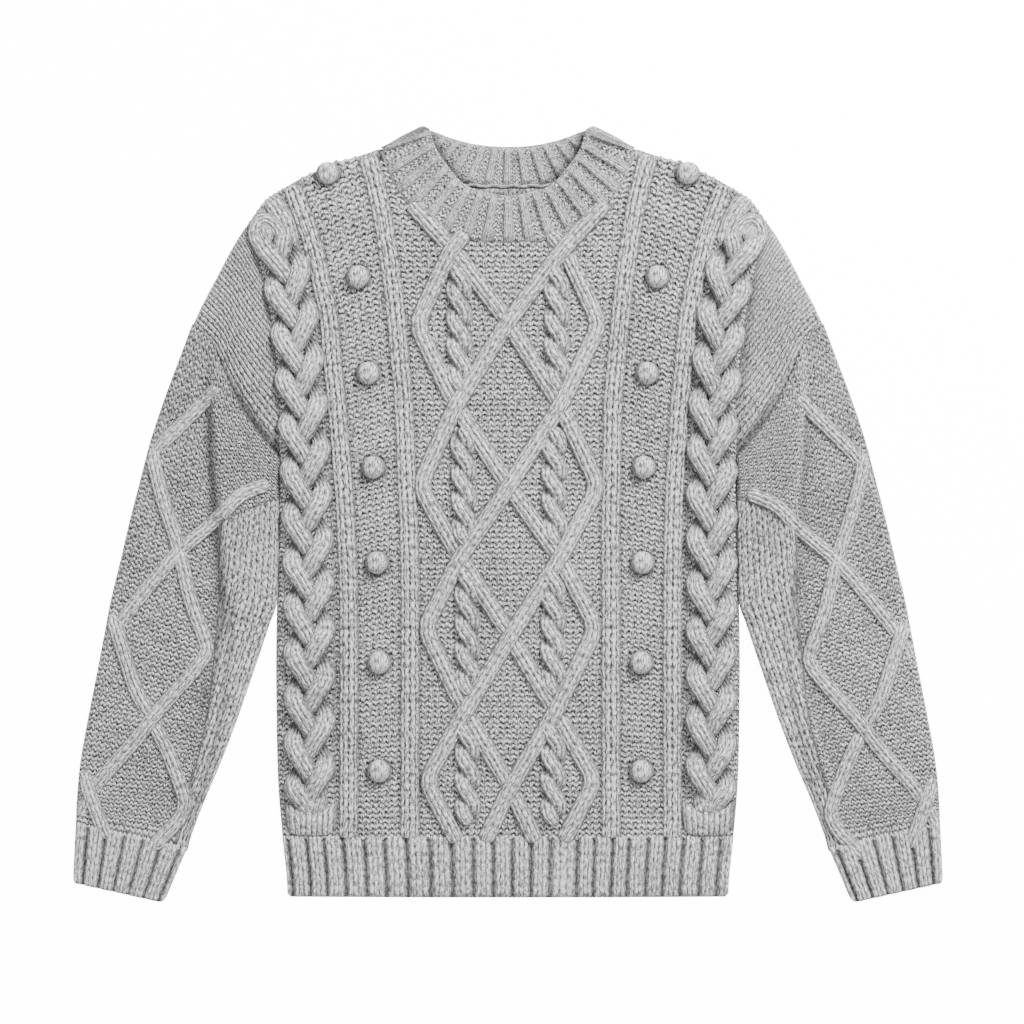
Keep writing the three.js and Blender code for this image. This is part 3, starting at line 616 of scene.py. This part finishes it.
def drop_shoulder(side):
    """Plain knit whose columns run beside the armhole seam, puffed up between braid and seam."""
    def place(u, v):
        top_x = through([[0, 265], [0.35, 247], [0.7, 228], [1, 214]])(u)
        top_y = SHOULDER(top_x)
        low_y = blend(UNDERARM_Y, 244.0, u ** 0.9)
        low_x = np.where(u < 0.002, UNDERARM_X, BRAID_OUTER(low_y) - 2)
        x, y = blend(low_x, top_x, v), blend(low_y, top_y, v)
        seam = ARMHOLE(blend(UNDERARM_X, POINT_X, v)) - blend(UNDERARM_Y, POINT_Y, v)
        y = y + seam * (1 - u) ** 2
        span = np.hypot(top_x - low_x, top_y - low_y)
        puff = SHOULDER_PUFF * arch(np.clip(u * 1.15, 0, 1)) ** 0.7 * arch(v) ** 0.4
        trough = 3.2 * (1 - smooth(0, 22, v * span)) * smooth(0, 40, span)
        z = FACE + puff * smooth(0, 60, span) + 1.5 * arch(2 * u * WALES) - 0.9 - trough
        z = rolled(z, (1 - v) * span, 6)
        return side * x, y, rolled(z, u * 100 + 0.8, 7, 3.2)

    def painted_shade(u, v):
        # Painted shade beside the armhole seam, between the legs and in the trough beside the braid
        beside_seam = (1 - smooth(0.01, 0.06, u)) * (0.9 - 0.6 * smooth(0.3, 0.7, v))
        between_legs = 0.14 + 0.6 * (1 - arch(2 * u * WALES)) ** 2
        beside_braid = 0.6 * near(v, 0.3) * smooth(0.05, 0.3, u)
        return np.maximum.reduce([beside_seam, beside_braid, between_legs])

    return cloth(WALES * 6, WALE_ROWS * 3, place, lambda u, v: (u * WALES, v * WALE_ROWS), painted_shade,
                 PLAIN)


for side in (-1, 1):
    front_cloths += [
        panel_strip(side, lambda y: INNER_RIB(y) + RIB_HALF - SEAM_LAP,
                    lambda y: OUTER_RIB(y) - RIB_HALF + SEAM_LAP, 7, 4),
        panel_strip(side, lambda y: OUTER_RIB(y) + RIB_HALF - SEAM_LAP,
                    lambda y: (np.where(y < UNDERARM_Y, SIDE(y), BRAID_OUTER(y) + 2)
                               - side * pattern_shift(y)),
                    9, 2, inward=False),
        drop_shoulder(side),
    ]
front = sewn("front_panel", front_cloths, nodes=["front"], closed=False)

# Two upright ribs on each side of the front, each of two columns of plain stitches with a dark line
# between them, run from the hem to the shoulder.
for word, side in SIDES:
    for place_word, middle in (("outer", OUTER_RIB), ("inner", INNER_RIB)):
        top = shoulder_top(lambda y: middle(y) + side * pattern_shift(y))
        y = np.arange(HEM_TOP - 2, top - 1, 1.6)
        x = side * middle(y) + pattern_shift(y)
        path = places(x, y, face_height(x, y) - 0.4)
        rib = strand(path, RIB_HALF, 3.0, 4, 2.4, ends=(2.0, 5.0), yarn=PLAIN)
        sewn("rib_" + place_word + "_" + word, [rib])

# The lattice is four travelling bands of four legs each. Where two cross, the one that leans to
# the right lies on top, and the other dives under it.
LATTICE = [
    [(262, 82), (224, 47), (162, 0), (92, -44), (24, -75), (-36, -42), (-102, 0), (-165, 38),
     (-223, 71), (-275, 44)],
    [(237, 35), (224, 47), (160, 77), (92, 44), (24, 0), (-36, -42), (-95, -72), (-165, -38),
     (-229, 0), (-275, 22)],
]
CROSSINGS = np.array([(side * x, y) for side in (-1, 1) for x, y in
                      ((0, 162), (0, 24), (0, -102), (0, -229), (47, 224), (44, 92), (42, -36),
                       (38, -165))])
STRAND_HALF = 7.5
STRAND_RISE = 4.6


def over_under(path, crossings, right_on_top, high, dive):
    """Lifts a line at a crossing where it is the band on top, and sinks it where it isn't. At each
    crossing the band that leans to the right is on top, or else the one that leans left."""
    away = np.hypot(path[:, None, 0] - crossings[:, 0], path[:, None, 1] - crossings[:, 1])
    leans_right = np.gradient(path[:, 0]) * np.gradient(path[:, 1]) > 0
    on_top = leans_right == np.array(right_on_top)[np.argmin(away, 1)]
    return np.where(on_top, high, -dive) * near(np.min(away, 1), 10)


lattice = []
for rows in LATTICE:
    for side in (-1, 1):
        path = bent([(side * x, y) for y, x in rows[::-1]])
        x, y = path.T
        z = face_height(x, y) + 0.5 + over_under(path, CROSSINGS, [True] * len(CROSSINGS), 1.0, 3.0)
        path = places(x + pattern_shift(y), y, z)
        lattice.append(strand(path, STRAND_HALF, STRAND_RISE, 4, edge=0.56))
sewn("front_lattice", lattice)

# Small ropes of two strands fill the diamonds beside the middle, from crossing to crossing.
ROPES = [(41, 109, 207), (38, -21, 71), (36, -147, -46), (36, -256, -176)]
ROPE_TWIST = 23
ROPE_SWING = 5.2
ropes = []
for middle, low, high in ROPES:
    for side in (-1, 1):
        for turn in (0, np.pi):
            y = np.arange(low - 4, high + 4, 1.3)
            angle = np.pi * (y - low) / ROPE_TWIST + turn
            x = side * middle - ROPE_SWING * np.sin(angle) + pattern_shift(y)
            z = face_height(x, y) + 0.5 + 2.4 * np.cos(angle)
            # Painted shade where a strand runs under the other one
            under = 0.9 * smooth(0.0, 0.9, -np.cos(angle))
            ropes.append(strand(places(x, y, z), 6.5, 3.9, 3, ends=(9.0, 9.0), shade=under, edge=0.5))
sewn("front_ropes", ropes)

# A broad three-strand plait runs up each side of the front. Its leaves point down to its middle.
# Above, the strands end in a coil and a few thin columns; below, a band gathers them.
BRAID_LEAF = 38
BRAID_SWING = 12.2
BRAID_FOOT = -251.0
BRAID_HEAD = 238.0
TIE_MIDDLE = 166.5
TIE_HALF = 21.8
TIE_LEGS = 10
for word, side in SIDES:
    plait = []
    for turn in range(3):
        y = np.arange(BRAID_FOOT, BRAID_HEAD, 1.5)
        angle = -TAU * (y - 96) / (3 * BRAID_LEAF) + turn * TAU / 3 - np.pi / 2
        middle = (BRAID_INNER(y) + BRAID_OUTER(y)) / 2
        swing = np.sin(angle) - 0.1 * np.sin(3 * angle)
        gather = smooth(BRAID_FOOT, BRAID_FOOT + 26, y)
        x = side * (middle + BRAID_SWING * swing * (0.35 + 0.65 * gather)) + pattern_shift(y)
        z = FACE + 1.6 * gather - 3.4 * gather * np.sin(2 * angle)
        half = 9.2 - 1.0 * np.cos(angle) ** 2 - 2.4 * smooth(-0.2, 0.7, np.sin(2 * angle)) * gather
        # Painted shade where a strand dives under the others
        below = smooth(0.3, 1.0, np.sin(2 * angle)) * gather
        plait.append(strand(places(x, y, z), half, 5.2, 5, ends=(8.0, 8.0), leg_dip=0.25,
                            shade=below, edge=0.52))
    coil = catmull([(187, 216), (190, 232), (196, 244), (205, 248), (212, 241), (211, 230), (204, 225)])
    coil = places(side * coil[:, 0], coil[:, 1], np.linspace(8.0, 8.5, len(coil)))
    plait.append(strand(coil, 5.8, 4.2, 4))
    plait.append(ball((side * 202.5, 236, 9.0), (3 * side, 7, 0), 6.0, 4.6, 4))
    thin = catmull([(182, 226), (187, 244), (194, 258), (201, 266)])
    thin = places(side * thin[:, 0], thin[:, 1], 6.2)
    plait.append(strand(thin, 9.0, 2.6, 5, 2.4, ends=(6.0, 5.0)))
    sewn("braid_" + word, plait)

    def tie_place(u, v, side=side):
        a = 2 * u - 1
        x = side * TIE_MIDDLE + (TIE_HALF + 2.4 * v) * a + 1.5
        y = blend(-271.0 + 7.0 * a ** 4, -236 - 11 * (1 - a * a), v)
        crown = np.sqrt(1 - a ** 4) * arch(v) ** 0.5
        return x, y, 4.6 + crown * (4.9 + 2.3 * arch(TIE_LEGS * u))

    def tie_shade(u, v):
        # Painted shade at the tie's edges and between its legs
        edges = smooth(0.72, 0.97, np.maximum(np.abs(2 * u - 1), np.abs(2 * v - 1)))
        return np.maximum(edges, 0.5 * (1 - arch(TIE_LEGS * u)) ** 2)

    tie = cloth(60, 22, tie_place, lambda u, v: (u * TIE_LEGS / 2, v * 5), tie_shade, CABLE)
    sewn("braid_tie_" + word, [tie], ends=True)

# Seven knitted balls stand on each bobble column, each a small pouch of plain stitches.
for word, side in SIDES:
    for number, (x, y) in enumerate(BOBBLES, 1):
        knot = ball((side * x + pattern_shift(y), y, 6.4), (0, 9.8, 0), 10.4, 9.4, 6, leg_dip=0.05,
                    yarn=BOBBLE, edge=0.5)
        node = "bobble_" + word + "_" + str(number)
        sewn("knitted_" + node, [knot], nodes=[node])

# The sleeves are tubes of reverse stitch, laid flat beside the body. A long soft fold runs down
# each, and a strip of plain knit follows the inner edge.
ARM_OUTER = [[0, 265, 160], [0.06, 276.5, 130], [0.13, 289, 97], [0.2, 300.5, 63],
             [0.28, 309.5, 29], [0.36, 318, -4], [0.44, 326, -38], [0.52, 334, -71],
             [0.6, 340.5, -105], [0.68, 347, -139], [0.76, 353.5, -172], [0.84, 359.5, -206],
             [0.92, 362.5, -236], [1, 363.5, -257]]
ARM_INNER = [[0, 193.3, 45.5], [0.14, 194, 10], [0.28, 194.3, -34], [0.42, 196.3, -80],
             [0.5, 203.5, -105], [0.6, 215, -139], [0.7, 226.5, -172], [0.8, 239.5, -206],
             [0.9, 254, -240], [1, 269, -279]]
FOLD_CREST = through([[0, 0.3], [0.05, 0.35], [0.1, 0.436], [0.15, 0.5], [0.2, 0.56], [0.255, 0.6],
                      [0.3, 0.63], [0.4, 0.7], [0.5, 0.77], [0.6, 0.8], [1, 0.8]])
PLAIN_EDGE = through([[0, 0.7], [0.2, 0.6], [0.3, 0.6], [0.4, 0.63], [0.5, 0.68], [0.6, 0.74],
                      [0.7, 0.79], [0.85, 0.84], [1, 0.88]])
FOLD_HEIGHT = through([[0, 0.5], [0.1, 1], [0.45, 1], [0.75, 0.45], [1, 0]])
OUTER_X, OUTER_Y = (through([[row[0], row[k]] for row in ARM_OUTER]) for k in (1, 2))
INNER_X, INNER_Y = (through([[row[0], row[k]] for row in ARM_INNER]) for k in (1, 2))
SLEEVE_STRANDS = [
    [(243, 107), (271, 79), (296, 54), (311, 22)],
    [(301, 66), (298, 46), (290, 13), (277, -25), (267, -71), (255, -103), (252, -116),
     (268, -136), (297, -168), (309, -185), (343, -223), (353, -240), (366, -262)],
    [(200, 25.5), (205, 25), (225, 17), (240, 0), (277, -31), (301, -59), (324, -88), (337, -106),
     (346, -130)],
    [(338, -62), (334, -80), (326, -105), (313, -147), (301, -168), (288, -193), (276, -223), (270, -242),
     (276, -256), (288, -268), (299, -280)],
    [(365, -190), (360, -205), (352, -231), (343, -256), (337, -272)],
]
SLEEVE_CROSSINGS = np.array([(297, 52), (262, -18), (329, -94), (303, -172), (348, -235)])
RIGHT_ON_TOP = [True, False, True, False, True]
RIGHT_SLEEVE_DROP = 8
ARM_COLUMNS = 25
ARM_ROWS = 99
PLAIN_COLUMNS = 14
PLAIN_ROWS = 62
ARM_TOP_SHARE = 0.88


def arm_place(u, s):
    """A place on the laid sleeve, u across from its outer to its inner edge and s down from the
    shoulder."""
    bow = np.maximum(0, 1 - s / 0.3) ** 2
    seam = ARMHOLE(blend(POINT_X, UNDERARM_X, u)) - blend(POINT_Y, UNDERARM_Y - 0.5, u)
    seam = seam + 1.0 + 2.0 * smooth(0.0, 0.15, u)
    x, y = blend(OUTER_X(s), INNER_X(s), u), blend(OUTER_Y(s), INNER_Y(s), u)
    return x + 0.4 * bow, y + bow * (seam - 0.3 * np.sin(np.pi * u))


def arm_height(u, s):
    """Height of the laid sleeve: the long fold, small wrinkles beside its inner edge, and a soft
    groove along the plain strip."""
    past = u - FOLD_CREST(s)
    ridge = smooth(-0.08, 0.015, past) * (1 - 0.65 * smooth(0.0, 0.35, past))
    fold = FOLD_HEIGHT(s) * (7.0 * ridge - 1.6 * near(past + 0.11, 0.06))
    wrinkle = np.sin(s * 90 + 6 * u) * smooth(0.75, 1.0, u)
    wrinkle = wrinkle * smooth(0.25, 0.35, s) * (1 - smooth(0.7, 0.9, s))
    groove = near(u - PLAIN_EDGE(s) - 0.09, 0.035) * smooth(0.38, 0.5, s) * (1 - smooth(0.7, 0.95, s))
    swell = np.sin(s * 17 + 2) * np.sin(u * 5 + s * 9)
    return 6.1 + fold + 0.8 * wrinkle + 0.4 * swell - 2.0 * groove


def below_start(a, s):
    """Whether a place on the sleeve is below the slanted line where the plain strip begins."""
    return s > 0.13 + 0.35 * (1 - a)


ARM_EDGE = through([[y, x] for _, x, y in ARM_OUTER])
EDGE_ROUND = 3


def round_edge(x, y, z):
    """Keeps a strand on the sleeve where it runs round the outer edge."""
    past = np.maximum(0, np.abs(x) - ARM_EDGE(y) + EDGE_ROUND)
    out = np.abs(x) - past + EDGE_ROUND * (1 - np.exp(-past / EDGE_ROUND))
    return np.sign(x) * out, y, 0.6 + (z - 0.6) * np.exp(-past / 4)


def sleeve_stitches(u, s):
    a = np.clip(u / ARM_TOP_SHARE, 0, 1)
    column, row = waved(a * ARM_COLUMNS, s * ARM_ROWS)
    plain = (a > PLAIN_EDGE(s)) & below_start(a, s)
    return np.where(plain, a * PLAIN_COLUMNS, column), np.where(plain, s * PLAIN_ROWS, row)


def sleeve_shade(u, s):
    """Painted shade beside the body, along the seam and the fold, at the plain strip's edge and
    between its legs, and over the upper sleeve.
    """
    a = np.clip(u / ARM_TOP_SHARE, 0, 1)
    beside_body = smooth(0.97, 1.0, a) * (1 - smooth(0.36, 0.42, s))
    outside = a - FOLD_CREST(s) + 0.055
    fold = near(outside, np.where(outside < 0, 0.08, 0.03)) * FOLD_HEIGHT(s) * smooth(0.02, 0.08, s)
    at_seam = (1 - smooth(0.003, 0.013, s)) * (0.35 + 0.65 * smooth(0.2, 0.6, a))
    past = a - PLAIN_EDGE(s)
    strip = 0.65 * near(past, 0.018) + 0.5 * near(past - 0.09, 0.03)
    between_legs = (1 - arch(2 * a * PLAIN_COLUMNS)) ** 2 * smooth(-0.01, 0.01, past)
    strip = np.maximum(strip, 0.5 * between_legs) * smooth(0.36, 0.46, s)
    strip = np.maximum(strip, 0.27 * (1 - smooth(0.25, 0.6, s)))
    return np.maximum.reduce([beside_body, at_seam, 0.68 * fold, strip])


def sleeve_yarn(u, s):
    a = u / ARM_TOP_SHARE
    return np.where((a > PLAIN_EDGE(s)) & below_start(a, s), PLAIN, PURL)


grid_s, grid_u = (grid.ravel() for grid in np.meshgrid(np.linspace(0, 1, 400),
                                                       np.linspace(0.02, 0.98, 60)))
grid_x, grid_y = arm_place(grid_u, grid_s)
grid_z = arm_height(grid_u, grid_s)
for word, side in SIDES:
    def sleeve_place(u, s, side=side):
        upper = u <= ARM_TOP_SHARE + 1e-6
        a = np.where(upper, u / ARM_TOP_SHARE, (1 - u) / (1 - ARM_TOP_SHARE))
        column, row = waved(a * ARM_COLUMNS, s * ARM_ROWS)
        x, y = arm_place(a, np.clip(np.where(upper & (a > 1e-6), row / ARM_ROWS, s), 0, 1))
        plain = smooth(-0.02, 0.02, a - PLAIN_EDGE(s)) * below_start(a, s)
        knit = blend(PURL_RISE * purl(column, s * ARM_ROWS), 1.4 * arch(2 * a * PLAIN_COLUMNS), plain)
        width = np.hypot(OUTER_X(s) - INNER_X(s), OUTER_Y(s) - INNER_Y(s))
        inside = np.minimum(np.minimum(a, 1 - a) * width, s * 440)
        z = rolled(arm_height(a, s) - UNDER_FACE + knit, inside, 6, 3)
        low = rolled(0.1, inside, 6, 3)
        tuck = 2.4 * smooth(0.5, 1.0, a) ** 4 * (1 - smooth(0.4, 0.46, s))
        foot = 4.0 * smooth(0.97, 1.0, s)
        return side * (x - tuck), y - foot, np.where(upper, z, low)

    tube = cloth(ARM_COLUMNS * 4 + 12, ARM_ROWS * 3, sleeve_place, sleeve_stitches, sleeve_shade,
                 sleeve_yarn, closed=True)
    sleeve = sewn("knitted_sleeve_" + word, [tube], nodes=["sleeve_" + word])

    travelling = []
    drop = RIGHT_SLEEVE_DROP * (side > 0)
    for line in SLEEVE_STRANDS:
        flat = bent(line)
        # Each band lies at the height of the sleeve's nearest place, evened out along it
        nearest = [np.argmin((grid_x - px) ** 2 + (grid_y - py + drop) ** 2) for px, py in flat]
        z = grid_z[nearest] - 5.0 * (1 - smooth(0.02, 0.07, grid_u[nearest]))
        z = np.convolve(np.pad(z, 6, mode="edge"), np.ones(13) / 13, mode="valid")
        z = z + 0.3 + over_under(flat, SLEEVE_CROSSINGS, RIGHT_ON_TOP, 0.8, 2.5)
        path = places(side * flat[:, 0], flat[:, 1] - drop, z)
        travelling.append(strand(path, 6.5, 3.6, 4, settle=round_edge))
    strands = sewn("sleeve_strands_" + word, travelling)

# The cuffs and the hem are deep ribs: raised bands of plain stitches between narrow sunk columns.
# They are counted in ribs, with a whole number in each valley.
CUFF_RIBS = 6.06
CUFF_START = 0.315


def off_valley(count):
    """0 in the middle of a valley and 1 in the middle of a rib."""
    return np.abs(count - np.round(count)) * 2


def ribbed(count, rise=3.4):
    return rise * smooth(0.1, 0.42, off_valley(count)) * (0.82 + 0.18 * arch(4 * count + 0.5))


def valley(count):
    """Painted shade in the middle of each valley, with a thin line of it on each leg's border."""
    off = off_valley(count)
    return np.maximum(0.95 * (1 - smooth(0.1, 0.27, off)), 0.35 * near(off - 0.75, 0.05))


def doubled(share):
    """A share round a cloth folded flat: whether it is on the upper side, and how far across."""
    upper = share <= 0.5 + 1e-6
    return upper, np.where(upper, share * 2, 2 - 2 * share)


def cuff_count(u):
    return doubled(u)[1] * CUFF_RIBS + CUFF_START


for word, side in SIDES:
    def cuff_place(u, v, side=side):
        upper, a = doubled(u)
        corner = np.clip((np.abs(2 * a - 1) * 48.5 - 42.5) / 6, 0, 1)
        v = v * (1 - (1 - np.sqrt(1 - corner ** 2)) * 6 / 52)
        x = blend(blend(363.5, 366.0, v), blend(269.2, 289.0, v), a)
        y = blend(blend(-257.4, -309.0, v), blend(-279.4, -326.0, v), a)
        inside = np.minimum(a, 1 - a) * 95
        end = np.minimum(v, 1 - v) * 52
        z = rolled(rolled(FACE + ribbed(cuff_count(u)), inside, 5, 3), end + 0.6, 3, 3)
        low = rolled(rolled(0.1, inside, 5, 3), end + 0.6, 3, 3)
        return side * x, y, np.where(upper, z, low)

    cuff = cloth(192, 36, cuff_place, lambda u, v: ((cuff_count(u) + 0.125) * 2, v * 8),
                 lambda u, v: valley(cuff_count(u)), CABLE, closed=True)
    cuff = sewn("knitted_cuff_" + word, [cuff], nodes=["cuff_" + word])

# The hem's valleys stand where the photograph has them, in pixels from its left side.
VALLEYS = [271, 290, 308, 325, 344, 365, 385, 407, 430, 452, 473, 493, 512, 531, 550, 577, 594, 612,
           628, 647, 664, 682, 701, 719, 741]
MIDDLE_PIXEL = 508
PIXEL = 0.84
HEM_WIDTH = 376
HEM_RIBS = len(VALLEYS) - 1
HEM_BOTTOM = -321.0
RIB_SHARE = through([[i, ((px - MIDDLE_PIXEL) * PIXEL + HEM_WIDTH / 2) / HEM_WIDTH]
                     for i, px in enumerate(VALLEYS)])
for word in ("front", "back"):
    def hem_place(u, v, front=word == "front"):
        count = u * HEM_RIBS
        share = np.clip(2 * RIB_SHARE(count) - 1, -1, 1)
        upper, t = doubled(v)
        high = HEM_TOP - 0.3 + 0.7 * (1 - np.cos(share * np.pi / 2))
        corner = np.maximum(0, np.abs(share) * 185.6 - 182.6)
        low = HEM_BOTTOM + corner - 0.7 * (1 - share * share)
        y = blend(low, high, t)
        x = share * SIDE(y)
        inside = np.minimum((1 - np.abs(share)) * 186, t * 51)
        if front:
            z = rolled(5.0 + ribbed(count) - 1.2 * smooth(0.93, 1.0, t), inside, 3.5, 3.6)
            under = rolled(3.4, inside, 3.5, 3.6)
        else:
            z = rolled(2.9, inside, 3.0, 1.6)
            under = rolled(0.9 - 0.8 * ribbed(count, 1.0), inside, 3.0, 1.6)
        return x, y, np.where(upper, z, under)

    hem = cloth(HEM_RIBS * 14, 48, hem_place,
                lambda u, v: ((u * HEM_RIBS + 0.125) * 2, doubled(v)[1] * 8),
                lambda u, v: valley(u * HEM_RIBS), CABLE, closed=True)
    hem = sewn("knitted_hem_" + word, [hem], nodes=["hem_rib_" + word])

# The back is a plain knitted panel that lies on the table, seen inside the neck and from below.
BACK_NECK = through([[0, 276], [42, 278], [76, 290], [107, 308.5]])
FRONT_RIM = through([[0, 267.5], [13.4, 269.6], [36, 277], [50.7, 293], [60.5, 308], [66, 325]])
ARMHOLE_OUT = through([[y, x] for x, y in ARMHOLE_LINE] + [[320, 265]])
BACK_COLUMNS, BACK_ROWS = 70, 125


def back_place(u, v):
    upper, t = doubled(v)
    share = 2 * u - 1
    out = np.abs(share)
    low_y = HEM_TOP + 0.7 * (1 - np.cos(share * np.pi / 2))
    top_x = POINT_X * out
    top_y = np.where(top_x < 107, BACK_NECK(top_x), SHOULDER(top_x))
    y = blend(low_y, top_y, t)
    # The panel's upright lines spread from the hem to the shoulder edge and the armhole
    x = blend(out * SIDE(blend(HEM_TOP, UNDERARM_Y, t)), top_x, smooth(0.45, 0.95, t))
    limit = np.where(y < UNDERARM_Y, SIDE(y), ARMHOLE_OUT(y)) - 0.4
    x = np.minimum(x, limit) * np.sign(share)
    inside = np.minimum((1 - out) * 190, np.minimum(t, 1 - t) * 520)
    return x, y, np.where(upper, rolled(2.9, inside, 3.0, 1.5), rolled(0.1, inside, 3.0, 1.5))


def back_shade(u, v):
    """Inside the neck the back has painted shade, most of all under its seam and at the band's rim."""
    x, y, _ = back_place(u, v)
    rim = near(y - FRONT_RIM(np.abs(x)), 2.0)
    seam = near(y - BACK_NECK(np.abs(x)) + 2.5, 1.6)
    return np.maximum(0.4 * smooth(245, 262, y), 0.9 * np.maximum(rim, seam) * (np.abs(x) < 80))


back = cloth(120, 300, back_place, lambda u, v: (u * BACK_COLUMNS, doubled(v)[1] * BACK_ROWS),
             back_shade, PLAIN, closed=True)
back = sewn("knitted_back", [back], nodes=["back"])

# The neckband is a doubled ribbed band, folded over at its rim and linked on along the neckline.
BAND_WALL = 3.2
BAND_FOLD = 2.3
NECK_X, NECK_Y = 106.4, 309.1
RIM_X = 66.0
BAND_SPREAD = np.pi / 2.15
FRONT_RIBS, BACK_RIBS = 17, 13
BAND_PROFILE = np.array([[0.0, 0.9], [0.05, 1], [0.5, 1], [0.9, 1], [0.97, 0.7], [1.0, 0], [0.97, -0.7],
                         [0.9, -1], [0.5, -1], [0.02, -1], [-0.02, 0], [0.0, 0.9]])
FRONT_SHARE, FOLD_SHARE = 0.56, 0.03
BACK_SHARE = 1 - FRONT_SHARE - 2 * FOLD_SHARE
TIP_X, TIP_Y = 69.0, 328.0
TIP_RADIUS = 12.0
TIP_HALF_ANGLE = 1.14


def round_tip(x, y):
    """Rounds the tip at either side of the neck, where the band turns from front to back."""
    reach = np.minimum(np.abs(np.abs(x) - TIP_X), TIP_RADIUS * np.cos(TIP_HALF_ANGLE))
    slope = reach / np.tan(TIP_HALF_ANGLE)
    cut = TIP_RADIUS / np.sin(TIP_HALF_ANGLE) - np.sqrt(TIP_RADIUS ** 2 - reach ** 2) - slope
    depth = np.maximum(TIP_Y - y - slope, 0)
    return x, y - cut * np.exp(-depth / 8)


def band_rib(count):
    """Height of the band's rib at a count, whole in the middle of each purled stretch."""
    return 2.5 * smooth(0.48, 0.62, off_valley(count)) * (0.8 + 0.2 * arch(4 * count))


def back_along(u):
    """How far a share round the band is along its back half."""
    return (u - FRONT_SHARE - FOLD_SHARE) / BACK_SHARE


def band_place(u, v):
    steps = lengths(BAND_PROFILE * (40, 1.6))
    along, face = (np.interp(v, steps / steps[-1], BAND_PROFILE[:, k]) for k in (0, 1))
    front_t, back_t = np.clip(u / FRONT_SHARE, 0, 1), np.clip(back_along(u), 0, 1)
    first = np.clip((u - FRONT_SHARE) / FOLD_SHARE, 0, 1)
    last = np.clip((u - 1 + FOLD_SHARE) / FOLD_SHARE, 0, 1)
    is_front = u <= FRONT_SHARE
    turn = np.where(is_front, 0, np.where(u >= 1 - FOLD_SHARE, 1 - last, first))
    across = np.where(is_front, 2 * front_t - 1, 1 - 2 * back_t)
    spread = np.where(is_front, np.sin(across * BAND_SPREAD) / np.sin(BAND_SPREAD), across)
    x, rim_x = NECK_X * spread, RIM_X * spread
    peak = smooth(0.88, 1.0, np.abs(spread))
    seam_y = np.where(is_front, FRONT_NECK(np.abs(x)), BACK_NECK(np.abs(x))) + 0.6
    seam_y = blend(seam_y, NECK_Y, smooth(0.95, 1.0, np.abs(spread)))
    rim_y = np.where(is_front, FRONT_RIM(np.abs(rim_x)), 310 + 15 * np.abs(spread) ** 2.2)
    rim_x, rim_y = rim_x - 0.5 * np.sign(spread) * peak, rim_y - 1.0 * peak
    angle = turn * np.pi
    up = np.clip(along, 0, 1)
    fold = np.sin(angle) * up ** 2
    count = np.where(is_front, front_t * FRONT_RIBS, back_t * BACK_RIBS)
    outer_face = np.where(turn < 0.5, face > 0, face < 0)
    fade = smooth(0.03, 0.12, along) * (1 - smooth(0.84, 0.92, along))
    crest = np.where(outer_face, band_rib(count), 0) * fade
    half = face * BAND_WALL / 2
    reach = (half + BAND_FOLD * np.sin(angle)) * (0.1 + 0.9 * up)
    rise = np.where(turn < 0.5, 4.0 * along ** 2, 0) + crest
    z = BAND_WALL / 2 + BAND_FOLD + BAND_FOLD * np.cos(angle) + rise + np.cos(angle) * half
    bulge = -0.4 * np.abs(across) ** 8 * arch(up)
    x = blend(x, rim_x, along) + across * (0.3 * np.sin(angle) * reach + 0.45 * bulge + 3 * fold)
    shoulder = np.sin(angle) * (2.7 * smooth(0, 0.5, along) - 0.7 * smooth(0.75, 1, along))
    y = blend(seam_y, rim_y, along) + 0.5 * np.sin(angle) * reach + bulge + shoulder
    return *round_tip(x, y), z


def band_count(u):
    return np.where(u <= FRONT_SHARE, u / FRONT_SHARE * FRONT_RIBS, back_along(u) * BACK_RIBS)


def band_yarn(u, v):
    from_fold = np.minimum(np.abs(u - FRONT_SHARE - FOLD_SHARE / 2), 1 - u)
    on_rib = off_valley(band_count(u)) > 0.54
    return np.where((from_fold < FOLD_SHARE) | on_rib, CABLE, PURL)


def band_shade(u, v):
    """Painted shade on the back of the band where it goes in behind the front of it, and in lines along
    each rib.
    """
    x, y, _ = band_place(u, v)
    behind = near(y - FRONT_RIM(np.abs(x)) - 1, 5 + np.abs(x) / 8)
    off_rib = 1 - off_valley(band_count(u))
    lines = 0.8 * near(off_rib - 0.46, 0.09) + 0.4 * near(off_rib, 0.1)
    return np.maximum(lines, np.where(u > FRONT_SHARE + FOLD_SHARE, 0.9 * behind, 0))


band = cloth(480, 48, band_place, lambda u, v: (band_count(u) * 4, v * 22), band_shade, band_yarn,
             closed=True)
band = sewn("knitted_neckband", [band], nodes=["neckband"])

for name, edge, half_span, height in (("front", FRONT_NECK, 106.0, 5.6),
                                      ("back", BACK_NECK, 76.0, 2.6)):
    x = np.linspace(-half_span, half_span, 200)
    path = catmull(places(x, edge(np.abs(x)) + 0.4 + 0.6 * np.sin(x / 2.6))[::4], 1.3)
    seam = strand(places(*path.T, height), 1.5, 1.5, 1, 2.4, ends=(2.0, 2.0), samples=6, shade=0.4)
    sewn("neck_seam_" + name, [seam])
